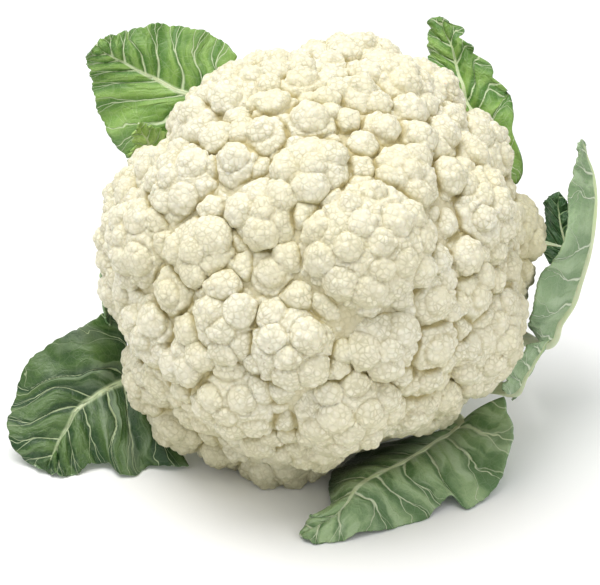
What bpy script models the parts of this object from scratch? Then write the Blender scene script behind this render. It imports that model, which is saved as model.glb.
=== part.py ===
"""Head of cauliflower lying tilted on its cut stalk, with its leaves around it.

The tables are in millimetres in the working frame: x right, y back, z up from the floor,
with the middle of the head over x = 0, y = 0. SHIFT moves the finished part so that the
bottom centre of its bounding box is the origin.
"""
import math

import bmesh
import bpy
import numpy as np
from mathutils import Vector

MM = 0.001
SHIFT = np.array([2.6, -3.3, 0.0])
HEAD_CENTRE = np.array([0.0, 0.0, 78.0])
HEAD_LEAN = math.radians(50)  # height of the head's axis over the floor, towards the front
AXIS = np.array([0.0, -math.cos(HEAD_LEAN), math.sin(HEAD_LEAN)])
ACROSS = np.array([1.0, 0.0, 0.0])
UPWARD = np.cross(AXIS, ACROSS)

VOXEL = 1.5
CURD_TRIANGLES = 9200
# Radius from the head's axis and height along it, from the top of the core to its underside.
CORE_PROFILE = [(0, 73), (20, 70), (38, 62), (54, 49), (65, 32), (72, 12), (73, -8), (71, -25),
                (63, -37), (48, -47), (34, -53), (20, -57), (0, -57)]
BRANCHES = 15            # ridges on the underside, where the florets' stems join the core
BRANCH_HEIGHT = 2.4
DOME_SPACING = 10.6      # of the small domes on a floret
DOME_RADIUS = 6.0
DOME_SINK = 3.2          # of a dome's centre below the floret's surface
FLORET_SINK = 2.4        # each floret sits this much deeper than its table says, for the domes on it

STALK_SIDES = 28
# Distance below the head's centre along the axis, and radius there.
STALK_PROFILE = [(58.2, 18.6), (60, 20.2), (64, 21.1), (70, 21.5), (76, 21.5), (82, 21.3),
                 (84, 20.4)]
STALK_HOLLOW = 83.0

BLADE_THICKNESS = 0.9
RIB_CLEARANCE = 0.5
RIB_SIDES = 8
RIB_REACH = 0.86         # share of the blade's rows that the rib runs along
# Half width, height above and depth below the middle line: at the stalk, where the blade
# begins, a tenth along the blade, and at the rib's end.
RIB_SECTIONS = [(6.4, 2.2, 4.0), (3.3, 1.4, 2.8), (2.3, 1.1, 2.0), (0.7, 0.6, 0.8)]
STUB_SECTIONS = [(4.9, 2.0, 3.4), (4.5, 1.8, 3.0)]

# x, y, z from the middle of the head, and radius.
SEEN_FLORETS = [
    (19, 35, 65, 17), (29, 11, 64, 18), (46, 30, 56, 14), (-12, 9, 72, 13), (-4, -6, 75, 9),
    (2, 36, 67, 11), (-27, -1, 64, 19), (-41, -10, 63, 11), (-1, -28, 70, 9), (-18, -31, 66, 9),
    (12, -26, 70, 6), (18, -35, 64, 7), (63, 20, 38, 16), (32, -39, 53, 13), (0, -46, 58, 13),
    (-19, -41, 58, 7), (59, -25, 33, 17), (42, -45, 42, 6), (19, -58, 36, 22), (-16, -54, 47, 12),
    (-45, -31, 46, 16), (-36, -48, 45, 7), (-39, -54, 32, 12), (-68, 10, 21, 14),
    (-71, -12, 15, 13), (-60, -31, 25, 17), (-72, -18, -2, 10), (-14, -64, 29, 10),
    (-24, -63, 30, 6), (-56, -46, -4, 14), (-29, -66, 10, 14), (-8, -75, 5, 14), (7, -71, 12, 8),
    (11, -69, -23, 18), (25, -71, 4, 12), (59, -31, -14, 23), (40, -61, -14, 10),
    (-58, -22, -41, 16), (-27, -65, -20, 17), (-52, -27, -55, 13), (-13, -31, -67, 17),
    (-34, -29, -63, 13), (-2, -60, -46, 11), (35, -59, -30, 10), (47, -25, -48, 12),
    (74, 3, -6, 14), (80, 11, 8, 13), (43, -55, 28, 7), (42, -62, 17, 9), (33, -66, 16, 6),
    (26, -27, 67, 7), (38, -25, 62, 8), (-27, -38, 60, 8), (-50, -55, 16, 8), (-42, -63, -9, 11),
    (10, -76, 3, 6), (-32, -66, 23, 6), (-5, -72, 22, 6), (49, -32, 51, 7), (-26, -58, 39, 5),
    (44, -65, -1, 8), (-43, -63, 5, 7), (42, -23, 58, 7),
]
BACK_FLORETS = [
    (-32, 48, 43, 17), (12, 58, 41, 17), (50, 46, 25, 17), (-45, 11, 35, 17), (-67, 4, -12, 17),
    (-60, 33, 16, 17), (-19, 28, 60, 17), (63, -6, -37, 13), (-13, 68, 24, 13), (61, 41, 2, 13),
    (-47, 54, 13, 13), (30, 64, 18, 13), (36, 46, 46, 13), (-66, 28, -12, 13), (-6, 49, 55, 13),
    (68, 26, 17, 11), (-38, 22, 55, 11), (-64, -1, -32, 11), (68, 27, -12, 11),
    (-63, -18, -20, 11), (-36, 61, 26, 8), (8, 71, 23, 8), (69, 9, -28, 8), (-49, 39, 40, 8),
    (-13, 62, 43, 8), (71, 6, 26, 8), (57, -8, 47, 10), (-19, -60, -41, 10), (73, -6, 15, 10),
    (39, -39, -44, 10), (-39, -52, -37, 10), (-58, -11, 43, 10), (57, -47, 11, 10),
    (20, -51, -40, 10), (17, -8, 72, 10), (70, -23, 10, 10), (-27, -46, -52, 10), (50, 5, 55, 10),
    (-54, -43, -27, 10), (6, 17, 72, 10), (-34, -26, 62, 8), (35, -10, 66, 8), (47, -12, 58, 8),
    (51, -41, -38, 8), (-68, -7, 32, 8), (-14, -18, 72, 8), (54, -46, 26, 8), (-45, -40, -45, 8),
    (-66, -31, -10, 8), (48, -51, -28, 8), (-8, -67, -33, 8), (-46, -55, -23, 8), (-68, -33, 5, 8),
    (-12, -50, -55, 8), (13, -46, -50, 8), (-72, 23, 5, 6), (5, -16, 74, 6), (66, -36, 10, 6),
    (-48, 4, 58, 6), (73, -8, -20, 6), (67, -7, 35, 6), (8, 4, 75, 6), (51, -55, -8, 6),
    (-8, -74, -14, 6), (71, 25, 2, 6),
]

# For each leaf: the stem's points from the stalk outwards, the blade's rows (middle, left
# margin, right margin, as seen on the upper face with the tip ahead), its tip, how far each
# half is arched towards the upper face, its waves, and how many rows the mesh has.
LEAVES = {
    "top_left": {
        "stem": [(-11, 63, 35), (-18, 69, 48), (-27, 73, 65), (-34, 77, 82), (-41, 79, 96)],
        "rows": [((-45, 77, 109), (-77, 68, 91), (-31, 83, 133)),
                 ((-50, 78, 116), (-85, 75, 100), (-40, 89, 138)),
                 ((-57, 80, 118), (-89, 79, 107), (-47, 92, 140)),
                 ((-64, 83, 121), (-91, 82, 114), (-57, 94, 141)),
                 ((-71, 84, 124), (-92, 84, 120), (-66, 94, 142)),
                 ((-78, 85, 128), (-93, 85, 125), (-76, 91, 140)),
                 ((-85, 85, 132), (-94, 85, 130), (-85, 88, 139))],
        "tip": (-91, 85, 137), "arch": 1.5, "wave": (1.6, 3.5), "count": 15,
    },
    "small_left": {
        "stem": [(-19, 50, 38), (-32, 55, 46), (-46, 58, 56), (-58, 60, 69)],
        "rows": [((-65, 64, 82), (-74, 58, 78), (-57, 70, 86)),
                 ((-63, 67, 89), (-75, 59, 91), (-51, 75, 93)),
                 ((-67, 64, 98), (-75, 56, 98), (-59, 71, 100)),
                 ((-68, 59, 104), (-73, 56, 104), (-62, 67, 105)),
                 ((-70, 58, 108), (-73, 55, 108), (-67, 60, 110))],
        "tip": (-71, 57, 114), "arch": 0.5, "wave": (0.8, 2.5), "count": 9, "rib": 0.7,
    },
    "top_right": {
        "stem": [(15, 61, 33), (24, 65, 45), (35, 69, 62), (45, 72, 78), (51, 74, 91)],
        "rows": [((57, 71, 104), (42, 78, 113), (77, 62, 91)),
                 ((66, 64, 113), (57, 67, 115), (82, 43, 89)),
                 ((64, 68, 118), (53, 72, 121), (86, 50, 99)),
                 ((63, 70, 123), (50, 76, 129), (83, 56, 114)),
                 ((61, 74, 127), (49, 80, 132), (80, 67, 123)),
                 ((60, 77, 131), (49, 83, 136), (75, 71, 129)),
                 ((59, 79, 136), (49, 86, 140), (69, 75, 135)),
                 ((57, 82, 140), (49, 88, 143), (64, 79, 140)),
                 ((55, 84, 144), (50, 88, 146), (60, 82, 145))],
        "tip": (54, 86, 149), "arch": 1.2, "wave": (1.8, 4.0), "count": 16,
    },
    "right_back": {
        "stem": [(22, 47, 35), (36, 49, 40), (52, 48, 48), (68, 45, 56), (80, 40, 63)],
        "rows": [((94, 38, 67), (88, 46, 73), (98, 30, 61)),
                 ((104, 35, 67), (96, 43, 69), (110, 32, 67)),
                 ((103, 40, 74), (97, 47, 76), (108, 38, 75)),
                 ((102, 44, 80), (97, 49, 81), (108, 42, 79))],
        "tip": (102, 47, 88), "arch": 0.6, "wave": (0.6, 2.0), "count": 9, "rib": 0.7,
    },
    "right": {
        "stem": [(23, 44, 19), (37, 38, 22), (54, 29, 28), (70, 20, 34), (81, 11, 39)],
        "rows": [((96, 8, 37), (94, 31, 25), (87, -7, 51)),
                 ((100, 7, 47), (102, 34, 35), (86, -9, 58)),
                 ((105, 9, 55), (108, 37, 42), (87, -8, 65)),
                 ((108, 13, 63), (111, 40, 51), (90, -4, 72)),
                 ((111, 17, 72), (114, 43, 61), (95, 1, 78)),
                 ((113, 22, 82), (115, 46, 71), (100, 9, 86)),
                 ((114, 28, 92), (115, 48, 83), (103, 19, 94)),
                 ((113, 33, 101), (114, 49, 95), (104, 26, 104)),
                 ((110, 36, 109), (111, 44, 106), (106, 32, 111))],
        "tip": (108, 38, 115), "arch": -1.6, "wave": (1.0, 3.0), "count": 15,
    },
    "right_low": {
        "stem": [(20, 32, 22), (33, 24, 20), (48, 14, 19), (62, 3, 21), (73, -6, 25)],
        "rows": [((82, -9, 24), (82, 1, 15), (75, -24, 33)),
                 ((85, -11, 32), (85, -1, 24), (76, -23, 39)),
                 ((88, -12, 39), (89, -2, 32), (79, -22, 45)),
                 ((91, -13, 46), (92, -5, 41), (84, -21, 51))],
        "tip": (94, -12, 51), "arch": -1.0, "wave": (0.8, 2.5), "count": 9, "rib": 0.8,
    },
    "bottom_right": {
        "stem": [(15, 32, 10), (24, 21, 8), (38, 6, 9), (53, -6, 11)],
        "rows": [((60, -16, 13), (75, -22, 30), (53, -12, 6)),
                 ((58, -20, 13), (79, -32, 21), (52, -15, 8)),
                 ((55, -23, 12), (77, -41, 14), (44, -16, 6)),
                 ((51, -25, 11), (72, -47, 6), (32, -17, 4)),
                 ((43, -34, 11), (61, -58, 1), (20, -23, 4)),
                 ((35, -44, 12), (53, -56, 4), (14, -30, 4)),
                 ((27, -52, 13), (44, -64, 1), (9, -36, 4)),
                 ((21, -59, 14), (33, -70, 1), (7, -43, 3)),
                 ((16, -66, 14), (23, -74, 1), (7, -51, 3)),
                 ((13, -72, 12), (14, -78, 1), (7, -66, 8)),
                 ((8, -74, 8), (6, -81, 1), (1, -73, 8)),
                 ((1, -76, 4), (0, -81, 1), (-1, -71, 5))],
        "tip": (-6, -77, 1), "arch": 1.6, "wave": (1.2, 3.5), "count": 17,
    },
    "bottom_left": {
        "stem": [(-21, 32, 23), (-34, 26, 21), (-48, 19, 20), (-62, 12, 21)],
        "rows": [((-74, 3, 23), (-48, -31, 3), (-78, 16, 44)),
                 ((-77, -2, 24), (-57, -30, 2), (-85, 17, 46)),
                 ((-81, -5, 24), (-65, -29, 1), (-92, 5, 46)),
                 ((-85, -8, 23), (-70, -35, 1), (-99, 3, 43)),
                 ((-88, -9, 21), (-76, -34, 1), (-107, 3, 39)),
                 ((-92, -11, 19), (-81, -30, 4), (-113, 1, 34)),
                 ((-95, -14, 17), (-87, -29, 3), (-117, -3, 27)),
                 ((-97, -18, 14), (-91, -31, 1), (-120, -10, 20)),
                 ((-100, -22, 10), (-95, -35, 1), (-122, -17, 13)),
                 ((-102, -26, 7), (-99, -35, 1), (-119, -24, 7)),
                 ((-104, -30, 4), (-103, -34, 1), (-112, -29, 3))],
        "tip": (-106, -33, 1), "arch": 1.4, "wave": (1.5, 4.0), "count": 17,
    },
    "back_top": {
        "stem": [(2, 58, 45), (4, 68, 56), (6, 77, 72), (7, 83, 89), (9, 87, 102)],
        "rows": [((9, 87, 108), (-6, 88, 109), (24, 85, 106)),
                 ((10, 86, 116), (-14, 86, 116), (33, 82, 113)),
                 ((10, 83, 123), (-11, 83, 123), (30, 80, 120)),
                 ((10, 81, 127), (-3, 81, 128), (23, 79, 126))],
        "tip": (10, 78, 130), "arch": -1.0, "wave": (0.8, 2.0), "count": 9,
    },
    "back_left": {
        "stem": [(-24, 48, 22), (-38, 45, 28), (-55, 39, 36), (-71, 33, 45), (-82, 27, 52)],
        "rows": [((-83, 25, 55), (-82, 16, 46), (-80, 36, 62)),
                 ((-84, 23, 58), (-82, 10, 44), (-80, 38, 68)),
                 ((-85, 20, 61), (-83, 9, 49), (-82, 34, 69)),
                 ((-85, 19, 63), (-84, 13, 56), (-83, 26, 67))],
        "tip": (-85, 17, 65), "arch": -0.8, "wave": (0.6, 2.0), "count": 9,
    },
}
# Stems whose leaf was cut off: points from the stalk to the cut.
STUBS = {
    "stub_front": [(2, 23, 15), (3, 10, 10), (3, 0, 7)],
    "stub_left": [(-12, 31, 9), (-19, 17, 8), (-25, 4, 7)],
    "stub_back": [(2, 65, 36), (4, 72, 45), (5, 78, 56)],
    "stub_back_left": [(-20, 57, 29), (-29, 60, 35), (-38, 62, 42)],
    "stub_back_right": [(22, 54, 26), (32, 55, 31), (42, 55, 36)],
}

COLOURS = {
    "curd": (0.86, 0.81, 0.62), "stalk": (0.74, 0.78, 0.52),
    "blade": (0.14, 0.33, 0.07), "pale_blade": (0.36, 0.50, 0.27), "rib": (0.66, 0.75, 0.45),
}


def unit(v):
    v = np.asarray(v, float)
    return v / np.maximum(np.linalg.norm(v, axis=-1, keepdims=True), 1e-9)


def clear_scene():
    for ob in list(bpy.data.objects):
        bpy.data.objects.remove(ob, do_unlink=True)


def material(name, rgb, roughness):
    mat = bpy.data.materials.new(name)
    mat.use_nodes = True
    shader = mat.node_tree.nodes["Principled BSDF"]
    shader.inputs["Base Color"].default_value = (*rgb, 1.0)
    shader.inputs["Roughness"].default_value = roughness
    return mat


def add_object(name, points, faces, mat):
    points = np.array(points, float)
    points[:, 2] = np.maximum(points[:, 2], 0.0)
    mesh = bpy.data.meshes.new(name)
    mesh.from_pydata([Vector((p + SHIFT) * MM) for p in points], [], faces)
    mesh.materials.append(mat)
    mesh.update()
    ob = bpy.data.objects.new(name, mesh)
    bpy.context.scene.collection.objects.link(ob)
    return ob


def resample(points, at):
    """Catmull-Rom curve through the points, at parameters counted in points."""
    points = np.asarray(points, float)
    padded = np.vstack([2 * points[0] - points[1], points, 2 * points[-1] - points[-2]])
    out = []
    for s in at:
        i = min(int(s), len(points) - 2)
        f = s - i
        a, b, c, d = padded[i:i + 4]
        out.append(0.5 * (2 * b + (c - a) * f + (2 * a - 5 * b + 4 * c - d) * f * f
                          + (3 * b - a - 3 * c + d) * f ** 3))
    return np.array(out)


def tangents(points):
    return unit(np.gradient(points, axis=0))


# The head

def turned(radius, height, turn):
    """Point round the head's axis, from the middle of the head."""
    out = math.cos(turn) * ACROSS + math.sin(turn) * UPWARD
    return height * AXIS + radius * out


def lathe(bm, profile, sides, ripple):
    """Closed body turned round the head's axis; its underside has ripples of the given height."""
    rings = []
    for radius, height in profile:
        ring = []
        for i in range(sides):
            turn = 2 * math.pi * i / sides
            wave = ripple * abs(math.cos(BRANCHES * turn / 2)) if 30 <= radius and height < -20 else 0
            ring.append(bm.verts.new(turned(radius + 0.5 * wave, height - wave, turn)))
            if radius == 0:
                break
        rings.append(ring)
    for one, two in zip(rings, rings[1:]):
        for i in range(sides):
            j = (i + 1) % sides
            quad = [one[i % len(one)], two[i % len(two)], two[j % len(two)], one[j % len(one)]]
            bm.faces.new(list(dict.fromkeys(quad)))


def add_ball(bm, centre, radius, fineness):
    made = bmesh.ops.create_icosphere(bm, subdivisions=fineness, radius=radius)
    bmesh.ops.translate(bm, verts=made["verts"], vec=Vector(centre))


def sunk(centre):
    centre = np.array(centre, float)
    return centre * (1 - FLORET_SINK / np.linalg.norm(centre))


def dome_places():
    """Middles of the small domes over every floret, where no other floret covers them."""
    florets = sorted(SEEN_FLORETS + BACK_FLORETS, key=lambda f: -f[3])
    centres = np.array([sunk(f[:3]) for f in florets])
    radii = np.array([f[3] for f in florets], float)
    kept = []
    for centre, radius in zip(centres, radii):
        top = unit(centre)
        side = unit(np.cross(top, [0.3, 0.2, 1.0]))
        other = np.cross(top, side)
        count = max(7, round(2.3 * math.pi * (radius / DOME_SPACING) ** 2 * 2))
        for i in range(count):
            height = 1 - 1.25 * i / count
            ring = math.sqrt(max(0.0, 1 - height * height))
            turn = 2.39996 * i
            way = height * top + ring * (math.cos(turn) * side + math.sin(turn) * other)
            place = centre + way * (radius - DOME_SINK)
            buried = (np.linalg.norm(centres - place - way, axis=1) < radii - 1.2).sum() > 1
            near = any(np.linalg.norm(place - k) < 0.72 * DOME_SPACING for k in kept)
            if not buried and not near and np.linalg.norm(place) > 62:
                kept.append(place)
    return kept


def largest_body(bm):
    """Leaves only the body with the most points."""
    left, best = set(bm.verts), set()
    while left:
        body, edge = set(), [left.pop()]
        while edge:
            v = edge.pop()
            body.add(v)
            for e in v.link_edges:
                other = e.other_vert(v)
                if other in left:
                    left.discard(other)
                    edge.append(other)
        best = max(best, body, key=len)
    bmesh.ops.delete(bm, geom=[v for v in bm.verts if v not in best], context="VERTS")


def make_curd(mat):
    """Core, florets and small domes, fused by a voxel remesh and thinned to the count."""
    bm = bmesh.new()
    lathe(bm, CORE_PROFILE, 90, BRANCH_HEIGHT)
    for x, y, z, radius in SEEN_FLORETS + BACK_FLORETS:
        add_ball(bm, sunk((x, y, z)), radius, 3)
    for place in dome_places():
        add_ball(bm, place, DOME_RADIUS, 2)
    bmesh.ops.scale(bm, verts=bm.verts, vec=Vector((MM, MM, MM)))
    mesh = bpy.data.meshes.new("rough")
    bm.to_mesh(mesh)
    bm.free()
    rough = bpy.data.objects.new("rough", mesh)
    bpy.context.scene.collection.objects.link(rough)
    remesh = rough.modifiers.new("fuse", "REMESH")
    remesh.mode = "VOXEL"
    remesh.voxel_size = VOXEL * MM
    count = len(evaluated(rough).polygons)
    thin = rough.modifiers.new("thin", "DECIMATE")
    thin.ratio = CURD_TRIANGLES / (2 * count)
    bm = bmesh.new()
    bm.from_mesh(evaluated(rough))
    bpy.data.objects.remove(rough, do_unlink=True)
    largest_body(bm)
    bmesh.ops.triangulate(bm, faces=bm.faces)
    bm.verts.index_update()
    points = [np.array(v.co) / MM + HEAD_CENTRE for v in bm.verts]
    faces = [tuple(v.index for v in f.verts) for f in bm.faces]
    bm.free()
    return add_object("curd", points, faces, mat)


def evaluated(ob):
    return bpy.data.meshes.new_from_object(ob.evaluated_get(bpy.context.evaluated_depsgraph_get()))


# The stalk

def make_stalk(mat):
    points, faces = [], []
    for depth, radius in STALK_PROFILE:
        for i in range(STALK_SIDES):
            turn = 2 * math.pi * i / STALK_SIDES
            wide = radius * (1 + 0.012 * math.cos(3 * turn + depth * 0.05))
            out = math.cos(turn) * ACROSS + math.sin(turn) * UPWARD
            points.append(HEAD_CENTRE - depth * AXIS + wide * out)
    top = len(points)
    points += [HEAD_CENTRE - STALK_PROFILE[0][0] * AXIS, HEAD_CENTRE - STALK_HOLLOW * AXIS]
    rings = len(STALK_PROFILE)
    for i in range(STALK_SIDES):
        j = (i + 1) % STALK_SIDES
        for r in range(rings - 1):
            a, b = r * STALK_SIDES + i, r * STALK_SIDES + j
            faces += [(a, a + STALK_SIDES, b), (b, a + STALK_SIDES, b + STALK_SIDES)]
        faces.append((top, i, j))
        last = (rings - 1) * STALK_SIDES
        faces.append((top + 1, last + j, last + i))
    return add_object("stalk", points, faces, mat)


# The leaves

def side_at_stem(point):
    return unit(np.cross(np.asarray(point, float) - HEAD_CENTRE, AXIS))


def leaf_frame(leaf):
    """Parameters of the rings along stem and blade, their middles, sides, margins and widths."""
    stem, rows = leaf["stem"], leaf["rows"]
    tip = np.array(leaf["tip"], float)
    last = [np.array(p, float) for p in rows[-1]]
    end = (tip * 0.85 + last[0] * 0.15, tip + (last[1] - tip) * 0.45, tip + (last[2] - tip) * 0.45)
    middle = list(stem) + [r[0] for r in rows] + [end[0]]
    sides = [side_at_stem(p) for p in stem]
    sides += [unit(unit(np.subtract(r[2], r[0])) - unit(np.subtract(r[1], r[0]))) for r in rows]
    sides.append(sides[-1])
    rings = leaf["count"]
    blade_at = np.linspace(len(stem), len(middle) - 1, rings)
    stem_at = np.linspace(0, len(stem), 8)[:-1]
    left = resample([r[1] for r in rows] + [end[1]], blade_at - len(stem))
    right = resample([r[2] for r in rows] + [end[2]], blade_at - len(stem))
    at = np.concatenate([stem_at, blade_at])
    points = resample(middle, at)
    ahead = tangents(points)
    across = resample(sides, at)
    across = unit(across - (across * ahead).sum(axis=1, keepdims=True) * ahead)
    share = np.concatenate([np.linspace(-1, 0, len(stem_at) + 1)[:-1], np.linspace(0, 1, rings)])
    sizes = np.array([np.interp(share, [-1, 0, 0.1, RIB_REACH], [s[k] for s in RIB_SECTIONS])
                      for k in range(3)]).T
    slim = np.interp(share, [-0.5, 0], [1.0, leaf.get("rib", 1.0)])
    return len(stem_at), points, across, np.cross(across, ahead), left, right, sizes * slim[:, None]


def tube(points, across, up, sizes):
    """Closed bar with a flattened upper side, the rings round the given points."""
    out, faces = [], []
    for p, s, n, (wide, high, deep) in zip(points, across, up, sizes):
        for k in range(RIB_SIDES):
            turn = 2 * math.pi * k / RIB_SIDES
            rise = math.sin(turn) * (high if math.sin(turn) > 0 else deep)
            out.append(p + s * wide * math.cos(turn) + n * rise)
    rings = len(points)
    for r in range(rings - 1):
        for k in range(RIB_SIDES):
            a, b = r * RIB_SIDES + k, r * RIB_SIDES + (k + 1) % RIB_SIDES
            faces += [(a, b, a + RIB_SIDES), (b, b + RIB_SIDES, a + RIB_SIDES)]
    last = (rings - 1) * RIB_SIDES
    for k in range(1, RIB_SIDES - 1):
        faces.append((0, k + 1, k))
        faces.append((last, last + k, last + k + 1))
    return out, faces


def outward(points, faces):
    """The faces, turned round if they enclose a negative volume."""
    points = np.array(points)
    a, b, c = (points[[f[i] for f in faces]] for i in range(3))
    volume = (a * np.cross(b, c)).sum()
    return faces if volume > 0 else [f[::-1] for f in faces]


def sheet_solid(points, faces, thickness):
    """Closes a sheet into a solid: both faces are split alike and the edges are walled."""
    points = np.array(points, float)
    normals = np.zeros_like(points)
    for face in faces:
        a, b, c = points[list(face)]
        normals[list(face)] += np.cross(b - a, c - a)
    normals = unit(normals)
    count = len(points)
    both = np.vstack([points + normals * thickness / 2, points - normals * thickness / 2])
    lift = np.maximum(0.0, -both[:, 2])
    both[:, 2] += np.maximum(lift, np.concatenate([lift[count:], lift[:count]]))
    solid = list(faces) + [tuple(i + count for i in face[::-1]) for face in faces]
    directed = {(f[i], f[(i + 1) % 3]) for f in faces for i in range(3)}
    for a, b in sorted(directed):
        if (b, a) not in directed:
            solid += [(a, a + count, b), (b, a + count, b + count)]
    return both, solid


def blade_rows(leaf, points, across, up, left, right, sizes):
    """The sheet's points: for each row, from the left margin to the right one."""
    swell, waves = leaf["wave"]
    columns = leaf.get("columns", 5)
    rows = []
    for i, (p, s, n, a, b, w) in enumerate(zip(points, across, up, left, right, sizes[:, 0])):
        share = i / (len(points) - 1)
        row = []
        gap = RIB_CLEARANCE + 1.2 * max(0.0, 1 - 5 * share)
        reach = w + gap
        if share > RIB_REACH:
            reach = min(reach, 0.3 * np.linalg.norm(p - a), 0.3 * np.linalg.norm(p - b))
        for sign, margin in ((-1, a), (1, b)):
            start = p + sign * s * reach
            half = []
            for k in range(columns):
                f = k / (columns - 1)
                wavy = swell * f * f * math.sin(2 * math.pi * waves * share + 1.3 * sign)
                arched = leaf["arch"] * 4 * f * (1 - f) * min(1.0, 1.6 * (1 - share) + 0.2)
                half.append(start + (margin - start) * f + n * (arched + wavy))
            row += half[::-1] if sign < 0 else half
        rows.append(row)
    return rows


def make_leaf(name, leaf, blade_mat, rib_mat):
    stems, points, across, up, left, right, sizes = leaf_frame(leaf)
    rows = blade_rows(leaf, points[stems:], across[stems:], up[stems:], left, right, sizes[stems:])
    count, width = len(rows), len(rows[0])
    half = width // 2
    rib_rows = math.floor(RIB_REACH * (count - 1))
    faces = []
    for i in range(count - 1):
        for k in range(width - 1):
            if k == half - 1 and i < rib_rows:
                continue
            a, b = i * width + k, i * width + k + 1
            c, d = a + width, b + width
            faces += [(a, b, c), (b, d, c)] if (k < half) else [(a, b, d), (a, d, c)]
    sheet = np.array(rows).reshape(-1, 3)
    sheet[:, 2] = np.maximum(sheet[:, 2], BLADE_THICKNESS / 2)
    solid, solid_faces = sheet_solid(sheet, faces, BLADE_THICKNESS)
    add_object("leaf_" + name, solid, outward(solid, solid_faces), blade_mat)
    end = stems + rib_rows + 1
    middle = points[:end].copy()
    middle[-1] -= RIB_CLEARANCE * unit(middle[-1] - middle[-2])
    bar, bar_faces = tube(middle, across[:end], up[:end], sizes[:end])
    add_object("rib_" + name, bar, outward(bar, bar_faces), rib_mat)


def make_stub(name, path, mat):
    at = np.linspace(0, len(path) - 1, 6)
    points = resample(path, at)
    ahead = tangents(points)
    across = np.array([side_at_stem(p) for p in points])
    across = unit(across - (across * ahead).sum(axis=1, keepdims=True) * ahead)
    sizes = np.linspace(*STUB_SECTIONS, 6)
    bar, faces = tube(points, across, np.cross(across, ahead), sizes)
    add_object(name, bar, outward(bar, faces), mat)


def main():
    clear_scene()
    curd = material("curd", COLOURS["curd"], 0.75)
    stalk = material("stalk", COLOURS["stalk"], 0.6)
    blade = material("leaf", COLOURS["blade"], 0.5)
    pale = material("leaf_pale", COLOURS["pale_blade"], 0.6)
    rib = material("rib", COLOURS["rib"], 0.5)
    make_curd(curd)
    make_stalk(stalk)
    for name, leaf in LEAVES.items():
        make_leaf(name, leaf, pale if name in ("right", "right_low") else blade, rib)
    for name, path in STUBS.items():
        make_stub(name, path, rib)


main()
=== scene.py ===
# %% [markdown]
# # A head of cauliflower
#
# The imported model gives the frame: 27 closed solids in metres, at their places. This lesson dresses
# it. The plain head becomes florets covered with smaller domes and beads, and the plain leaves become
# thin sheets with puffed panels and veins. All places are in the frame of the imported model. The
# tables keep the millimetres of the working frame, in which the head's middle is over x = 0, y = 0,
# and SHIFT moves them to the model's frame.

# %% Load the frame
import math

import bpy
import bmesh
import numpy as np
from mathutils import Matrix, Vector, kdtree


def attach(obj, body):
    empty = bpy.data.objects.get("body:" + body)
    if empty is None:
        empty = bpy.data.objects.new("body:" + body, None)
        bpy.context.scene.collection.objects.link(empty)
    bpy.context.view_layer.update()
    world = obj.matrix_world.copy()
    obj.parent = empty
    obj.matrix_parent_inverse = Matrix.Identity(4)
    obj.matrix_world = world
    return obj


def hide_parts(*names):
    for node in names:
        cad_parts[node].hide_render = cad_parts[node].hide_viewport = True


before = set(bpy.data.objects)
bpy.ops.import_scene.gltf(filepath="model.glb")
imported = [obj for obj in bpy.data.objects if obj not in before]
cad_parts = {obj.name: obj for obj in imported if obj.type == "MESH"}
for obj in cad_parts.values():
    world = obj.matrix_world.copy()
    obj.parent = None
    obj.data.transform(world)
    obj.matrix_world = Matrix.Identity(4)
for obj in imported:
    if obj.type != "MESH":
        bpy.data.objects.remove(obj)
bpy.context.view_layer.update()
bpy.ops.object.select_all(action="DESELECT")

# %% [markdown]
# ## Places and directions
#
# The head lies tilted: the line from its cut stalk to its crown leans 50 degrees above the surface.
# Everything on the head is given along that axis and around it. `along_curve` is a smooth curve
# through given points, which stems, midribs and leaf edges all follow.

# %% Axis, shift and curve
SHIFT = np.array([2.6, -3.3, 0.0])
HEAD_CENTRE = np.array([0.0, 0.0, 78.0])
HEAD_LEAN = math.radians(50)
AXIS = np.array([0.0, -math.cos(HEAD_LEAN), math.sin(HEAD_LEAN)])
ACROSS = np.array([1.0, 0.0, 0.0])
UPWARD = np.cross(AXIS, ACROSS)
GOLDEN = math.pi * (3 - math.sqrt(5))


def unit(v):
    v = np.asarray(v, float)
    return v / np.maximum(np.linalg.norm(v, axis=-1, keepdims=True), 1e-9)


def smooth_step(low, high, value):
    t = np.clip((value - low) / (high - low), 0, 1)
    return t * t * (3 - 2 * t)


def along_curve(points, at):
    """A Catmull-Rom curve through the points, at parameters counted in points."""
    points = np.asarray(points, float)
    padded = np.vstack([2 * points[0] - points[1], points, 2 * points[-1] - points[-2]])
    at = np.asarray(at, float)
    i = np.minimum(at.astype(int), len(points) - 2)
    f = (at - i)[:, None]
    a, b, c, d = (padded[i + k] for k in range(4))
    return 0.5 * (2 * b + (c - a) * f + (2 * a - 5 * b + 4 * c - d) * f * f
                  + (3 * b - a - 3 * c + d) * f ** 3)


print("the head's axis is", AXIS.round(3))


# %% [markdown]
# ## From numbers to a piece
#
# The head's domes are worked out as arrays of points, because a hundred thousand of them can't be
# pulled out by hand. `piece_from` makes one object of such arrays, in metres, with its origin at the
# world's, and stores extra numbers on the points, which the materials read as attributes.

# %% Make a piece from arrays
def closed_rings(rows, sides):
    """Faces of a row of rings, closed by two more points: the first ring's middle and the last's."""
    r, k = np.meshgrid(np.arange(rows - 1), np.arange(sides), indexing="ij")
    a, b = (r * sides + k).ravel(), (r * sides + (k + 1) % sides).ravel()
    i = np.arange(sides)
    j = (i + 1) % sides
    last, middle = (rows - 1) * sides, np.full(sides, rows * sides)
    return np.vstack([np.column_stack([a, a + sides, b]), np.column_stack([b, a + sides, b + sides]),
                      np.column_stack([middle, i, j]), np.column_stack([middle + 1, last + j, last + i])])


def round_the_axis(sides):
    """Angles round the head's axis and the directions outwards there."""
    turn = np.linspace(0, 2 * math.pi, sides, endpoint=False)
    return turn, np.cos(turn)[:, None] * ACROSS + np.sin(turn)[:, None] * UPWARD


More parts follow.
